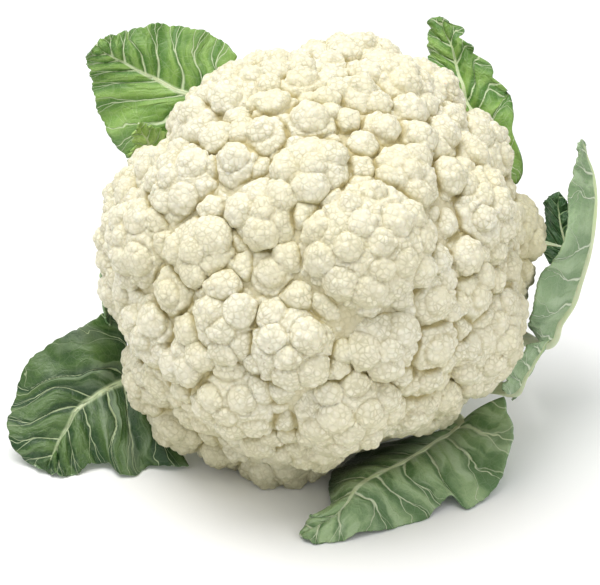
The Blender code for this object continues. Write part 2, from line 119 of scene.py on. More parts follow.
def piece_from(name, points, faces, numbers):
    mesh = bpy.data.meshes.new(name)
    mesh.from_pydata(((points + SHIFT) * 0.001).tolist(), [], faces.tolist())
    for label, values in numbers.items():
        kept = mesh.attributes.new(label, "FLOAT", "POINT")
        kept.data.foreach_set("value", np.asarray(values, np.float32))
    mesh.polygons.foreach_set("use_smooth", np.ones(len(mesh.polygons), bool))
    mesh.update()
    piece = bpy.data.objects.new(name, mesh)
    bpy.context.scene.collection.objects.link(piece)
    return piece


def finish_piece(piece, material, slot, *nodes):
    """Gives a piece its material, hangs it under the root and hides the nodes of the frame that it stands
    for.
    """
    if material:
        piece.data.materials.clear()
        piece.data.materials.append(material)
    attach(piece, "root")
    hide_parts(*nodes)
    print(piece.name, len(piece.data.polygons), "faces")


# %% [markdown]
# ## Where the florets are
#
# The curd is not one smooth ball but a crowd of florets, each a dome of its own. Their places and
# sizes repeat the tables of the part's source. The first table began as places read from the
# photograph. The second was made by a separate program, which filled the free places between those
# and the sides that can't be seen. Florets of both that stood too far out were moved in by a program
# too. Each row gives the floret's middle from the middle of the head, and its radius.

# %% Florets
# x, y, z from the middle of the head, and radius.
SEEN_FLORETS = [
    (19, 35, 65, 17), (29, 11, 64, 18), (46, 30, 56, 14), (-12, 9, 72, 13), (-4, -6, 75, 9),
    (2, 36, 67, 11), (-27, -1, 64, 19), (-41, -10, 63, 11), (-1, -28, 70, 9), (-18, -31, 66, 9),
    (12, -26, 70, 6), (18, -35, 64, 7), (63, 20, 38, 16), (32, -39, 53, 13), (0, -46, 58, 13),
    (-19, -41, 58, 7), (59, -25, 33, 17), (42, -45, 42, 6), (19, -58, 36, 22), (-16, -54, 47, 12),
    (-45, -31, 46, 16), (-36, -48, 45, 7), (-39, -54, 32, 12), (-68, 10, 21, 14),
    (-71, -12, 15, 13), (-60, -31, 25, 17), (-72, -18, -2, 10), (-14, -64, 29, 10),
    (-24, -63, 30, 6), (-56, -46, -4, 14), (-29, -66, 10, 14), (-8, -75, 5, 14), (7, -71, 12, 8),
    (11, -69, -23, 18), (25, -71, 4, 12), (59, -31, -14, 23), (40, -61, -14, 10),
    (-58, -22, -41, 16), (-27, -65, -20, 17), (-52, -27, -55, 13), (-13, -31, -67, 17),
    (-34, -29, -63, 13), (-2, -60, -46, 11), (35, -59, -30, 10), (47, -25, -48, 12),
    (74, 3, -6, 14), (80, 11, 8, 13), (43, -55, 28, 7), (42, -62, 17, 9), (33, -66, 16, 6),
    (26, -27, 67, 7), (38, -25, 62, 8), (-27, -38, 60, 8), (-50, -55, 16, 8), (-42, -63, -9, 11),
    (10, -76, 3, 6), (-32, -66, 23, 6), (-5, -72, 22, 6), (49, -32, 51, 7), (-26, -58, 39, 5),
    (44, -65, -1, 8), (-43, -63, 5, 7), (42, -23, 58, 7),
]
BACK_FLORETS = [
    (-32, 48, 43, 17), (12, 58, 41, 17), (50, 46, 25, 17), (-45, 11, 35, 17), (-67, 4, -12, 17),
    (-60, 33, 16, 17), (-19, 28, 60, 17), (63, -6, -37, 13), (-13, 68, 24, 13), (61, 41, 2, 13),
    (-47, 54, 13, 13), (30, 64, 18, 13), (36, 46, 46, 13), (-66, 28, -12, 13), (-6, 49, 55, 13),
    (68, 26, 17, 11), (-38, 22, 55, 11), (-64, -1, -32, 11), (68, 27, -12, 11),
    (-63, -18, -20, 11), (-36, 61, 26, 8), (8, 71, 23, 8), (69, 9, -28, 8), (-49, 39, 40, 8),
    (-13, 62, 43, 8), (71, 6, 26, 8), (57, -8, 47, 10), (-19, -60, -41, 10), (73, -6, 15, 10),
    (39, -39, -44, 10), (-39, -52, -37, 10), (-58, -11, 43, 10), (57, -47, 11, 10),
    (20, -51, -40, 10), (17, -8, 72, 10), (70, -23, 10, 10), (-27, -46, -52, 10), (50, 5, 55, 10),
    (-54, -43, -27, 10), (6, 17, 72, 10), (-34, -26, 62, 8), (35, -10, 66, 8), (47, -12, 58, 8),
    (51, -41, -38, 8), (-68, -7, 32, 8), (-14, -18, 72, 8), (54, -46, 26, 8), (-45, -40, -45, 8),
    (-66, -31, -10, 8), (48, -51, -28, 8), (-8, -67, -33, 8), (-46, -55, -23, 8), (-68, -33, 5, 8),
    (-12, -50, -55, 8), (13, -46, -50, 8), (-72, 23, 5, 6), (5, -16, 74, 6), (66, -36, 10, 6),
    (-48, 4, 58, 6), (73, -8, -20, 6), (67, -7, 35, 6), (8, 4, 75, 6), (51, -55, -8, 6),
    (-8, -74, -14, 6), (71, 25, 2, 6),
]

# %% [markdown]
# ## Domes
#
# A floret itself is a cluster of smaller domes. They are laid out by the same rule as in the plain
# head, a golden-angle spiral over each floret. Then each floret is made wider by SPREAD, with its
# top where it was, so that it presses on its neighbours, and small florets fill the hollows left.

# %% Domes on the florets
CORE_PROFILE = [(0, 73), (20, 70), (38, 62), (54, 49), (65, 32), (72, 12), (73, -8), (71, -25),
                (63, -37), (48, -47), (34, -53), (20, -57), (0, -57)]
FLORET_SINK = 2.4        # each floret sits this much deeper than its table says, for the domes on it
DOME_SPACING = 10.6
DOME_SINK = 3.2          # of a dome's centre below the floret's surface, in the plain head
SWELL = 0.6              # the dressed florets are fuller, so that they press on each other
SPREAD = 5.0             # and this much wider, with their tops where they were

floret_table = np.array(sorted(SEEN_FLORETS + BACK_FLORETS, key=lambda f: -f[3]), float)
floret_radii = floret_table[:, 3]
floret_centres = floret_table[:, :3] - FLORET_SINK * unit(floret_table[:, :3])


def spiral_over(centre, radius, outward, count, reach):
    """Points on a ball from its outward pole down, each a golden angle further round."""
    side = unit(np.cross(outward, [0.3, 0.2, 1.0]))
    other = np.cross(outward, side)
    i = np.arange(count)[:, None]
    height = 1 - reach * i / count
    ring = np.sqrt(np.maximum(0.0, 1 - height * height))
    turn = GOLDEN * i
    way = height * outward + ring * (np.cos(turn) * side + np.sin(turn) * other)
    return centre + radius * way, way


def domes_on_florets():
    """The places of the domes, as in the plain head, and the floret that each one is on."""
    kept, owner = [], []
    for number, (centre, radius) in enumerate(zip(floret_centres, floret_radii)):
        count = max(7, round(2.3 * math.pi * (radius / DOME_SPACING) ** 2 * 2))
        places, ways = spiral_over(centre, radius - DOME_SINK, unit(centre), count, 1.25)
        for place, way in zip(places, ways):
            inside = np.linalg.norm(floret_centres - place - way, axis=1) < floret_radii - 1.2
            near = any(np.linalg.norm(place - k) < 0.72 * DOME_SPACING for k in kept)
            if inside.sum() <= 1 and not near and np.linalg.norm(place) > 62:
                kept.append(place)
                owner.append(number)
    return np.array(kept), np.array(owner)


dome_centres, dome_owner = domes_on_florets()
rng = np.random.default_rng(7)
dome_ways = unit(dome_centres - floret_centres[dome_owner])
dome_radii = rng.uniform(6.6, 9.6, len(dome_centres))
dome_rise = rng.uniform(1.7, 3.3, len(dome_centres))
dome_lean = (dome_ways * unit(floret_centres[dome_owner])).sum(axis=1)
dome_rise = dome_rise + SPREAD * (1 - dome_lean)
dome_centres = dome_centres + (DOME_SINK + dome_rise - dome_radii)[:, None] * dome_ways
floret_centres = floret_centres - SPREAD * unit(floret_centres)
floret_radii = floret_radii + SPREAD


def level_of_florets():
    """Directions all over the curd, how far the florets reach there, and their level round about."""
    ways = spiral_over(np.zeros(3), 1.0, AXIS, 3600, 1.4)[0]
    along = ways @ floret_centres.T
    root = (floret_radii + 1.5) ** 2 - (floret_centres ** 2).sum(axis=1) + along ** 2
    reach = np.where(root > 0, along + np.sqrt(np.maximum(root, 0)), 60).max(axis=1)
    level = np.array([np.percentile(reach[ways @ way > 0.965], 62) for way in ways])
    return ways, reach, level


def small_florets(ways, reach, level):
    """Small florets for the hollows that the large ones leave between them."""
    made = []
    for i in np.argsort(reach - level):
        hollow = level[i] - reach[i]
        radius = min(max(9.0, 1.5 * hollow), 13.0)
        place = ways[i] * (reach[i] + 0.42 * hollow - radius)
        alone = all(np.linalg.norm(place - m[:3]) > 13 for m in made)
        if hollow > 5.0 and ways[i] @ AXIS > -0.25 and alone:
            made.append(np.append(place, radius))
    return np.array(made)


level_ways, floret_reach, floret_level = level_of_florets()
fillers = small_florets(level_ways, floret_reach, floret_level)
floret_centres = np.vstack([floret_centres, fillers[:, :3]])
floret_radii = np.concatenate([floret_radii, fillers[:, 3]])
print(len(floret_radii), "florets,", len(fillers), "of them small,", len(dome_centres), "domes")

# %% [markdown]
# ## Clusters and beads
#
# Every dome of a real curd is a cluster of smaller ones, and those are clusters again. The middle
# size, about five millimetres across, is modelled: its places run in golden-angle spirals over each
# dome, as the buds really grow. Places that other domes cover are left out, and so are some that
# come too close to others. The floors of the gaps are raised, so that none is too deep. A k-d tree
# then finds the nearest place to any point of the surface.

# %% Places of the clusters
CLUSTER_SPACING = 4.4
CLUSTER_RADIUS = 3.0
CLUSTER_SINK = 2.5
GAP_DEPTH = 5.6          # of the floor of a gap between florets, below their level round about
ball_centres = np.vstack([floret_centres, dome_centres])
ball_radii = np.concatenate([floret_radii + SWELL, dome_radii])
ball_outward = np.vstack([unit(floret_centres), dome_ways])


def core_radius(way):
    """Distance from the head's middle to the core's surface, in the direction given."""
    profile = np.array(CORE_PROFILE, float)
    angles = np.arctan2(profile[:, 0], profile[:, 1])
    lean = np.arccos(np.clip(way @ AXIS, -1, 1))
    return np.interp(lean, angles, np.linalg.norm(profile, axis=1))


def tree_of(places):
    tree = kdtree.KDTree(len(places))
    for i, place in enumerate(places):
        tree.insert(place, i)
    tree.balance()
    return tree


def level_at(ways):
    """The florets' level in any direction, evened out between the nearest known ones."""
    tree = tree_of(level_ways)
    found = [tree.find_n(way, 8) for way in ways]
    return np.array([np.mean([floret_level[f[1]] for f in near]) for near in found])


def filled_radius(ways):
    """The core's surface, raised where the gaps between florets would be too deep."""
    plain = core_radius(ways)
    lift = np.maximum(0, level_at(ways) - GAP_DEPTH - plain)
    return plain + lift * smooth_step(-0.32, -0.1, ways @ AXIS)


def cluster_places():
    found = []
    for centre, radius, outward in zip(ball_centres, ball_radii, ball_outward):
        spacing = CLUSTER_SPACING * rng.uniform(0.86, 1.16)
        count = max(5, round(4 * math.pi * radius ** 2 * 0.71 / (0.87 * spacing ** 2)))
        found.append(spiral_over(centre, radius, outward, count, 1.42)[0])
    ways = spiral_over(np.zeros(3), 1.0, AXIS, 3600, 1.3)[0]
    found.append(ways * filled_radius(ways)[:, None])
    found = np.vstack(found)
    found += rng.normal(0, 0.28, found.shape)
    open_air = np.ones(len(found), bool)
    for centre, radius in zip(ball_centres, ball_radii):
        open_air &= np.linalg.norm(found - centre, axis=1) > radius - 0.9
    found = found[open_air]
    tree = tree_of(found)
    kept = np.ones(len(found), bool)
    for i, place in enumerate(found):
        if kept[i]:
            for _, j, _ in tree.find_range(place, 0.62 * CLUSTER_SPACING):
                kept[j] = kept[j] and j <= i
    return found[kept]


clusters = cluster_places()
cluster_tree = tree_of(clusters)
cluster_size = rng.uniform(0.82, 1.12, len(clusters))
print(len(clusters), "clusters")

# %% [markdown]
# ## One floret
#
# A floret starts as an ico sphere, whose triangles are all alike. Its points are drawn towards the
# outer pole, where the detail is, then each one moves out along its ray to the furthest ball that
# it meets: the floret's own, or one of its domes. Points that lie deep in a neighbour are dropped
# and the rim is closed towards the middle, which costs few triangles and is never seen.

# %% Ico sphere directions and the first relief


def ball_directions(fineness):
    bpy.ops.object.select_all(action="DESELECT")
    bpy.ops.mesh.primitive_ico_sphere_add(subdivisions=fineness, radius=1)
    ball = bpy.context.object
    ways = np.array([v.co[:] for v in ball.data.vertices])
    triangles = np.array([p.vertices[:] for p in ball.data.polygons])
    bpy.data.objects.remove(ball, do_unlink=True)
    return unit(ways), triangles


BALLS = {fineness: ball_directions(fineness) for fineness in (4, 5, 6)}


def turned_to(ways, outward):
    """The directions with their density drawn towards +Z, then +Z turned to the outward one."""
    lean = np.arccos(np.clip(ways[:, 2], -1, 1))
    drawn = lean * (0.72 + 0.28 * (lean / math.pi) ** 2)
    flat = unit(ways[:, :2]) * np.sin(drawn)[:, None]
    side = unit(np.cross(outward, [0.3, 0.2, 1.0]))
    other = np.cross(outward, side)
    return flat[:, :1] * side + flat[:, 1:] * other + np.cos(drawn)[:, None] * outward


def furthest_ball(number):
    """For one floret: its points, outward directions there, triangles and creases between domes."""
    centre, radius = floret_centres[number], floret_radii[number] + SWELL
    ways, triangles = BALLS[6 if radius > 19.2 else 5 if radius > 10.6 else 4]
    ways = turned_to(ways, unit(centre))
    reach = np.full(len(ways), radius)
    second = np.full(len(ways), radius - 3.0)
    owner = np.tile(centre, (len(ways), 1))
    for j in np.nonzero(dome_owner == number)[0]:
        offset = dome_centres[j] - centre
        along = ways @ offset
        under_root = dome_radii[j] ** 2 - offset @ offset + along ** 2
        hit = np.where((under_root > 0) & (along > 0), along + np.sqrt(np.maximum(under_root, 0)), 0)
        second = np.maximum(second, np.minimum(hit, reach))
        better = hit > reach
        reach[better] = hit[better]
        owner[better] = dome_centres[j]
    crease = 1 - smooth_step(0.0, 0.8, reach - second)
    points = centre + ways * (reach - 0.8 * crease)[:, None]
    return points, unit(points - owner), triangles, crease


def trim_hidden(points, triangles, number):
    """Drops the triangles deep inside the core or a neighbour and closes the rim to the middle."""
    hidden = np.linalg.norm(points, axis=1) < core_radius(unit(points)) - 2.5
    nearness = np.full(len(points), 9.0)
    apart = np.linalg.norm(floret_centres - floret_centres[number], axis=1)
    for j in np.nonzero(apart < floret_radii + floret_radii[number] + 8)[0]:
        if j != number:
            outside = np.linalg.norm(points - floret_centres[j], axis=1) - floret_radii[j] - SWELL
            hidden |= outside < -1.9
            nearness = np.minimum(nearness, outside)
    kept = triangles[~hidden[triangles].all(axis=1)]
    edges = np.vstack([kept[:, [0, 1]], kept[:, [1, 2]], kept[:, [2, 0]]])
    there = set(map(tuple, edges.tolist()))
    rim = [(b, a, len(points)) for a, b in there if (b, a) not in there]
    if rim:
        kept = np.vstack([kept, np.array(rim)])
    return kept, nearness


print({fineness: len(ways) for fineness, (ways, _) in BALLS.items()}, "points a ball")

# %% [markdown]
# ## All florets
#
# The clusters raise the points once more, each as a small ball sunk into the surface. Three numbers
# are kept for the colour: `fold` is high in the creases between florets and domes and `pit` between
# the clusters, and the finish paints shade in both; `stem` is high on the smooth inner side of a
# floret, where no buds grow. The florets are sorted by the side of the head that they are on, into a
# few pieces.

# %% Build the florets
GROOVE_DEPTH = 1.1       # how far a floret's surface is drawn in where it meets another


def raise_clusters(points, ways, amount):
    """Moves the points out over the nearest cluster; gives them and how deep between two they lie."""
    found = [cluster_tree.find(p) for p in points]
    distance = np.array([f[2] for f in found])
    size = cluster_size[[f[1] for f in found]]
    bulge = np.sqrt(np.maximum((CLUSTER_RADIUS * size) ** 2 - distance ** 2, 0)) - CLUSTER_SINK
    bulge = np.maximum(bulge, -0.3)
    top = CLUSTER_RADIUS * size - CLUSTER_SINK
    return points + ways * (bulge * amount)[:, None], np.clip(1 - bulge / top, 0, 1)


def build_florets():
    zones = {}
    for number in range(len(floret_radii)):
        points, ways, triangles, crease = furthest_ball(number)
        kept, nearness = trim_hidden(points, triangles, number)
        used = np.unique(kept[kept < len(points)])
        stem = smooth_step(0.1, 0.75, -(unit(points - floret_centres[number]) @ unit(floret_centres[number])))
        renumber = np.full(len(points) + 1, -1)
        renumber[used] = np.arange(len(used))
        renumber[len(points)] = len(used)
        groove = GROOVE_DEPTH * (1 - smooth_step(-0.6, 2.2, nearness[used]))
        tucked = points[used] - groove[:, None] * unit(points[used] - floret_centres[number])
        raised, pit = raise_clusters(tucked, ways[used], 1 - 0.9 * stem[used])
        raised[:, 2] = np.maximum(raised[:, 2], -HEAD_CENTRE[2])
        # fold: how deep in a crease a point lies, where the finish paints shade
        fold = np.maximum(1 - smooth_step(-0.8, 2.4, nearness[used]), 0.6 * crease[used])
        middle = floret_centres[number]
        around = math.atan2(middle @ UPWARD, middle @ ACROSS)
        crown = middle @ AXIS > 0.72 * np.linalg.norm(middle)
        zone = "crown" if crown else ("right", "top", "left", "low")[round(around / (math.pi / 2)) % 4]
        zones.setdefault(zone, []).append((
            np.vstack([raised, middle]) + HEAD_CENTRE, renumber[kept], np.append(fold, 1.0),
            np.append(pit, 1.0), np.append(stem[used], 1.0)))
    made = []
    for zone, parts in sorted(zones.items()):
        start = np.cumsum([0] + [len(p[0]) for p in parts])
        made.append(piece_from(
            "florets_" + zone, np.vstack([p[0] for p in parts]),
            np.vstack([p[1] + s for p, s in zip(parts, start)]),
            {"fold": np.concatenate([p[2] for p in parts]), "pit": np.concatenate([p[3] for p in parts]),
             "stem": np.concatenate([p[4] for p in parts])}))
    return made


florets = build_florets()
print([(f.name, len(f.data.polygons)) for f in florets])

# %% [markdown]
# ## The core and its branches
#
# Under the florets the head is one thick branched stem. Seen from behind and below, its branches run
# out from the stalk like the ribs of a fan, each ending in a floret. It is turned round the head's
# axis from the plain core's profile, with deeper grooves between the branches.

# %% Build the core
BRANCHES = 15
CORE_SIDES = 210
CORE_ROWS = 94


def build_core():
    """The branched stem: its profile turned round the axis, ribbed below and filled up above."""
    profile = along_curve(CORE_PROFILE, np.linspace(0, len(CORE_PROFILE) - 1, CORE_ROWS + 2))[1:-1]
    turn, out = round_the_axis(CORE_SIDES)
    radius, depth = profile[:, :1], profile[:, 1:2]
    under = smooth_step(-14, -30, depth)
    outer = smooth_step(44, 66, radius)
    ridge = np.abs(np.cos(BRANCHES * turn / 2)) ** 0.8 * np.ones((CORE_ROWS, 1))
    fork = np.abs(np.cos(BRANCHES * turn + 0.4))
    height = 2.6 * ridge * (1 - outer) + (1.6 * ridge + 1.8 * fork) * outer
    wave = height * smooth_step(20, 34, radius) * under
    rings = (radius + 0.5 * wave)[..., None] * out + (depth - wave)[..., None] * AXIS
    ends = [CORE_PROFILE[0][1] * AXIS, CORE_PROFILE[-1][1] * AXIS]
    points = np.vstack([rings.reshape(-1, 3), ends])
    dome_side = np.append(np.repeat(1 - under[:, 0], CORE_SIDES), [1.0, 0.0])
    groove = np.append(1 - ridge.ravel(), [0.0, 0.0])
    ways = unit(points)
    plain = np.linalg.norm(points, axis=1)
    filled = plain + (filled_radius(ways) - plain) * dome_side
    raised, pit = raise_clusters(ways * filled[:, None], ways, dome_side)
    # fold carries painted shade: between the florets above, and in the grooves between branches below
    fold = np.where(dome_side > 0.5, 0.6, 0.7 * groove)
    return piece_from("core_and_branches", raised + HEAD_CENTRE, closed_rings(CORE_ROWS, CORE_SIDES),
                      {"fold": fold, "pit": pit * dome_side, "stem": 1 - dome_side})


core = build_core()
print(core.name, len(core.data.polygons), "faces")

# %% [markdown]
# ## Where the leaves are
#
# Each leaf has a stem that starts near the stalk, rows of its blade, and a tip. A row gives the
# midrib and the two margins. The tables repeat those of the part's source. They began as points read
# from the photograph, which a separate program turned into millimetres, except those of the two
# leaves at the back, which can't be seen.

# %% Leaves
# For each leaf: the stem's points from the stalk outwards, the blade's rows (middle, left
# margin, right margin, as seen on the upper face with the tip ahead), its tip, how far each
# half is arched towards the upper face, the height and number of its waves, and for some how thick
# the midrib is.
LEAVES = {
    "top_left": {
        "stem": [(-11, 63, 35), (-18, 69, 48), (-27, 73, 65), (-34, 77, 82), (-41, 79, 96)],
        "rows": [((-45, 77, 109), (-77, 68, 91), (-31, 83, 133)),
                 ((-50, 78, 116), (-85, 75, 100), (-40, 89, 138)),
                 ((-57, 80, 118), (-89, 79, 107), (-47, 92, 140)),
                 ((-64, 83, 121), (-91, 82, 114), (-57, 94, 141)),
                 ((-71, 84, 124), (-92, 84, 120), (-66, 94, 142)),
                 ((-78, 85, 128), (-93, 85, 125), (-76, 91, 140)),
                 ((-85, 85, 132), (-94, 85, 130), (-85, 88, 139))],
        "tip": (-91, 85, 137), "arch": 1.5, "wave": (1.6, 3.5),
    },
    "small_left": {
        "stem": [(-19, 50, 38), (-32, 55, 46), (-46, 58, 56), (-58, 60, 69)],
        "rows": [((-65, 64, 82), (-74, 58, 78), (-57, 70, 86)),
                 ((-63, 67, 89), (-75, 59, 91), (-51, 75, 93)),
                 ((-67, 64, 98), (-75, 56, 98), (-59, 71, 100)),
                 ((-68, 59, 104), (-73, 56, 104), (-62, 67, 105)),
                 ((-70, 58, 108), (-73, 55, 108), (-67, 60, 110))],
        "tip": (-71, 57, 114), "arch": 0.5, "wave": (0.8, 2.5), "rib": 0.7,
    },
    "top_right": {
        "stem": [(15, 61, 33), (24, 65, 45), (35, 69, 62), (45, 72, 78), (51, 74, 91)],
        "rows": [((57, 71, 104), (42, 78, 113), (77, 62, 91)),
                 ((66, 64, 113), (57, 67, 115), (82, 43, 89)),
                 ((64, 68, 118), (53, 72, 121), (86, 50, 99)),
                 ((63, 70, 123), (50, 76, 129), (83, 56, 114)),
                 ((61, 74, 127), (49, 80, 132), (80, 67, 123)),
                 ((60, 77, 131), (49, 83, 136), (75, 71, 129)),
                 ((59, 79, 136), (49, 86, 140), (69, 75, 135)),
                 ((57, 82, 140), (49, 88, 143), (64, 79, 140)),
                 ((55, 84, 144), (50, 88, 146), (60, 82, 145))],
        "tip": (54, 86, 149), "arch": 1.2, "wave": (1.8, 4.0),
    },
    "right_back": {
        "stem": [(22, 47, 35), (36, 49, 40), (52, 48, 48), (68, 45, 56), (80, 40, 63)],
        "rows": [((94, 38, 67), (88, 46, 73), (98, 30, 61)),
                 ((104, 35, 67), (96, 43, 69), (110, 32, 67)),
                 ((103, 40, 74), (97, 47, 76), (108, 38, 75)),
                 ((102, 44, 80), (97, 49, 81), (108, 42, 79))],
        "tip": (102, 47, 88), "arch": 0.6, "wave": (0.6, 2.0), "rib": 0.7,
    },
    "right": {
        "stem": [(23, 44, 19), (37, 38, 22), (54, 29, 28), (70, 20, 34), (81, 11, 39)],
        "rows": [((96, 8, 37), (94, 31, 25), (87, -7, 51)),
                 ((100, 7, 47), (102, 34, 35), (86, -9, 58)),
                 ((105, 9, 55), (108, 37, 42), (87, -8, 65)),
                 ((108, 13, 63), (111, 40, 51), (90, -4, 72)),
                 ((111, 17, 72), (114, 43, 61), (95, 1, 78)),
                 ((113, 22, 82), (115, 46, 71), (100, 9, 86)),
                 ((114, 28, 92), (115, 48, 83), (103, 19, 94)),
                 ((113, 33, 101), (114, 49, 95), (104, 26, 104)),
                 ((110, 36, 109), (111, 44, 106), (106, 32, 111))],
        "tip": (108, 38, 115), "arch": -1.6, "wave": (1.0, 3.0),
    },
    "right_low": {
        "stem": [(20, 32, 22), (33, 24, 20), (48, 14, 19), (62, 3, 21), (73, -6, 25)],
        "rows": [((82, -9, 24), (82, 1, 15), (75, -24, 33)),
                 ((85, -11, 32), (85, -1, 24), (76, -23, 39)),
                 ((88, -12, 39), (89, -2, 32), (79, -22, 45)),
                 ((91, -13, 46), (92, -5, 41), (84, -21, 51))],
        "tip": (94, -12, 51), "arch": -1.0, "wave": (0.8, 2.5), "rib": 0.8,
    },
    "bottom_right": {
        "stem": [(15, 32, 10), (24, 21, 8), (38, 6, 9), (53, -6, 11)],
        "rows": [((60, -16, 13), (75, -22, 30), (53, -12, 6)),
                 ((58, -20, 13), (79, -32, 21), (52, -15, 8)),
                 ((55, -23, 12), (77, -41, 14), (44, -16, 6)),
                 ((51, -25, 11), (72, -47, 6), (32, -17, 4)),
                 ((43, -34, 11), (61, -58, 1), (20, -23, 4)),
                 ((35, -44, 12), (53, -56, 4), (14, -30, 4)),
                 ((27, -52, 13), (44, -64, 1), (9, -36, 4)),
                 ((21, -59, 14), (33, -70, 1), (7, -43, 3)),
                 ((16, -66, 14), (23, -74, 1), (7, -51, 3)),
                 ((13, -72, 12), (14, -78, 1), (7, -66, 8)),
                 ((8, -74, 8), (6, -81, 1), (1, -73, 8)),
                 ((1, -76, 4), (0, -81, 1), (-1, -71, 5))],
        "tip": (-6, -77, 1), "arch": 1.6, "wave": (1.2, 3.5),
    },
    "bottom_left": {
        "stem": [(-21, 32, 23), (-34, 26, 21), (-48, 19, 20), (-62, 12, 21)],
        "rows": [((-74, 3, 23), (-48, -31, 3), (-78, 16, 44)),
                 ((-77, -2, 24), (-57, -30, 2), (-85, 17, 46)),
                 ((-81, -5, 24), (-65, -29, 1), (-92, 5, 46)),
                 ((-85, -8, 23), (-70, -35, 1), (-99, 3, 43)),
                 ((-88, -9, 21), (-76, -34, 1), (-107, 3, 39)),
                 ((-92, -11, 19), (-81, -30, 4), (-113, 1, 34)),
                 ((-95, -14, 17), (-87, -29, 3), (-117, -3, 27)),
                 ((-97, -18, 14), (-91, -31, 1), (-120, -10, 20)),
                 ((-100, -22, 10), (-95, -35, 1), (-122, -17, 13)),
                 ((-102, -26, 7), (-99, -35, 1), (-119, -24, 7)),
                 ((-104, -30, 4), (-103, -34, 1), (-112, -29, 3))],
        "tip": (-106, -33, 1), "arch": 1.4, "wave": (1.5, 4.0),
    },
    "back_top": {
        "stem": [(2, 58, 45), (4, 68, 56), (6, 77, 72), (7, 83, 89), (9, 87, 102)],
        "rows": [((9, 87, 108), (-6, 88, 109), (24, 85, 106)),
                 ((10, 86, 116), (-14, 86, 116), (33, 82, 113)),
                 ((10, 83, 123), (-11, 83, 123), (30, 80, 120)),
                 ((10, 81, 127), (-3, 81, 128), (23, 79, 126))],
        "tip": (10, 78, 130), "arch": -1.0, "wave": (0.8, 2.0),
    },
    "back_left": {
        "stem": [(-24, 48, 22), (-38, 45, 28), (-55, 39, 36), (-71, 33, 45), (-82, 27, 52)],
        "rows": [((-83, 25, 55), (-82, 16, 46), (-80, 36, 62)),
                 ((-84, 23, 58), (-82, 10, 44), (-80, 38, 68)),
                 ((-85, 20, 61), (-83, 9, 49), (-82, 34, 69)),
                 ((-85, 19, 63), (-84, 13, 56), (-83, 26, 67))],
        "tip": (-85, 17, 65), "arch": -0.8, "wave": (0.6, 2.0),
    },
}
# Stems whose leaf was cut off: points from the stalk to the cut.
STUBS = {
    "stub_front": [(2, 23, 15), (3, 10, 10), (3, 0, 7)],
    "stub_left": [(-12, 31, 9), (-19, 17, 8), (-25, 4, 7)],
    "stub_back": [(2, 65, 36), (4, 72, 45), (5, 78, 56)],
    "stub_back_left": [(-20, 57, 29), (-29, 60, 35), (-38, 62, 42)],
    "stub_back_right": [(22, 54, 26), (32, 55, 31), (42, 55, 36)],
}


# %% Sizes of blades and ribs
RIB_REACH = 0.86         # share of the blade's rows that the rib runs along
RIB_CLEARANCE = 0.5
# Half width, height above and depth below the middle line: at the stalk, where the blade
# begins, a tenth along the blade, and at the rib's end.
RIB_SECTIONS = [(6.4, 2.2, 4.0), (3.3, 1.4, 2.8), (2.3, 1.1, 2.0), (0.7, 0.6, 0.8)]
STUB_SECTIONS = [(4.9, 2.0, 3.4), (4.5, 1.8, 3.0)]


def side_at_stem(points):
    return unit(np.cross(np.asarray(points, float) - HEAD_CENTRE, AXIS))


def square_to(across, ahead):
    return unit(across - (across * ahead).sum(axis=1, keepdims=True) * ahead)


def leaf_lines(leaf, rows, stem_rows):
    """Rings along stem and blade: middles, sides, upper side, both margins, rib sizes and shares."""
    stem, given = leaf["stem"], leaf["rows"]
    tip = np.array(leaf["tip"], float)
    last = [np.array(p, float) for p in given[-1]]
    end = (tip * 0.85 + last[0] * 0.15, tip + (last[1] - tip) * 0.45, tip + (last[2] - tip) * 0.45)
    middle = list(stem) + [r[0] for r in given] + [end[0]]
    sides = list(side_at_stem(stem))
    sides += [unit(unit(np.subtract(r[2], r[0])) - unit(np.subtract(r[1], r[0]))) for r in given]
    sides.append(sides[-1])
    blade_at = np.linspace(len(stem), len(middle) - 1, rows)
    stem_at = np.linspace(0, len(stem), stem_rows + 1)[:-1]
    left = along_curve([r[1] for r in given] + [end[1]], blade_at - len(stem))
    right = along_curve([r[2] for r in given] + [end[2]], blade_at - len(stem))
    at = np.concatenate([stem_at, blade_at])
    points = along_curve(middle, at)
    ahead = unit(np.gradient(points, axis=0))
    across = square_to(along_curve(sides, at), ahead)
    share = np.concatenate([np.linspace(-1, 0, stem_rows + 1)[:-1], np.linspace(0, 1, rows)])
    sizes = np.array([np.interp(share, [-1, 0, 0.1, RIB_REACH], [s[k] for s in RIB_SECTIONS])
                      for k in range(3)]).T
    slim = np.interp(share, [-0.5, 0], [1.0, leaf.get("rib", 1.0)])
    return points, across, np.cross(across, ahead), left, right, sizes * slim[:, None], share


# %% [markdown]
# ## Blades
#
# A blade is a grid: rows along the midrib, columns from one margin to the other, so that a second
# set of coordinates can be kept on it. `vein` counts the side veins along the leaf: it is a whole
# number on each vein, which leaves the midrib at a slant and bends forward. `share` runs from 0 at
# the midrib to 1 at the margin. The panels between veins are puffed up, the margin has small lobes,
# and Solidify gives the sheet its thickness and its other side a material of its own.

# %% Build a blade
COLUMNS = 27             # from the midrib to each margin
BLADE_THICKNESS = 0.8


def count_veins(along, q, look, side):
    """How many side veins lie before each point of a half: it is a whole number on a vein."""
    if "veins" not in look:
        start = along - look["slant"][side] * q - 0.05 * look["bend"] * q * q
        return start / look["spacing"] + 0.45 * side, np.full(q.shape, look["spacing"])
    places = [np.interp(q, [p[1] for p in line], [p[0] for p in line]) for line in look["veins"][side]]
    gaps = [np.maximum(b - a, 1.5) for a, b in zip(places, places[1:])]
    passed = [np.clip((along - a) / gap, 0, 1) for a, gap in zip(places, gaps)]
    count = sum(passed) + np.minimum(0, along - places[0]) / 9 + np.maximum(0, along - places[-1]) / 9
    spacing = sum(gap * ((p > 0) & (p < 1)) for gap, p in zip(gaps, passed))
    return count, np.where(spacing > 0, spacing, 9.0)


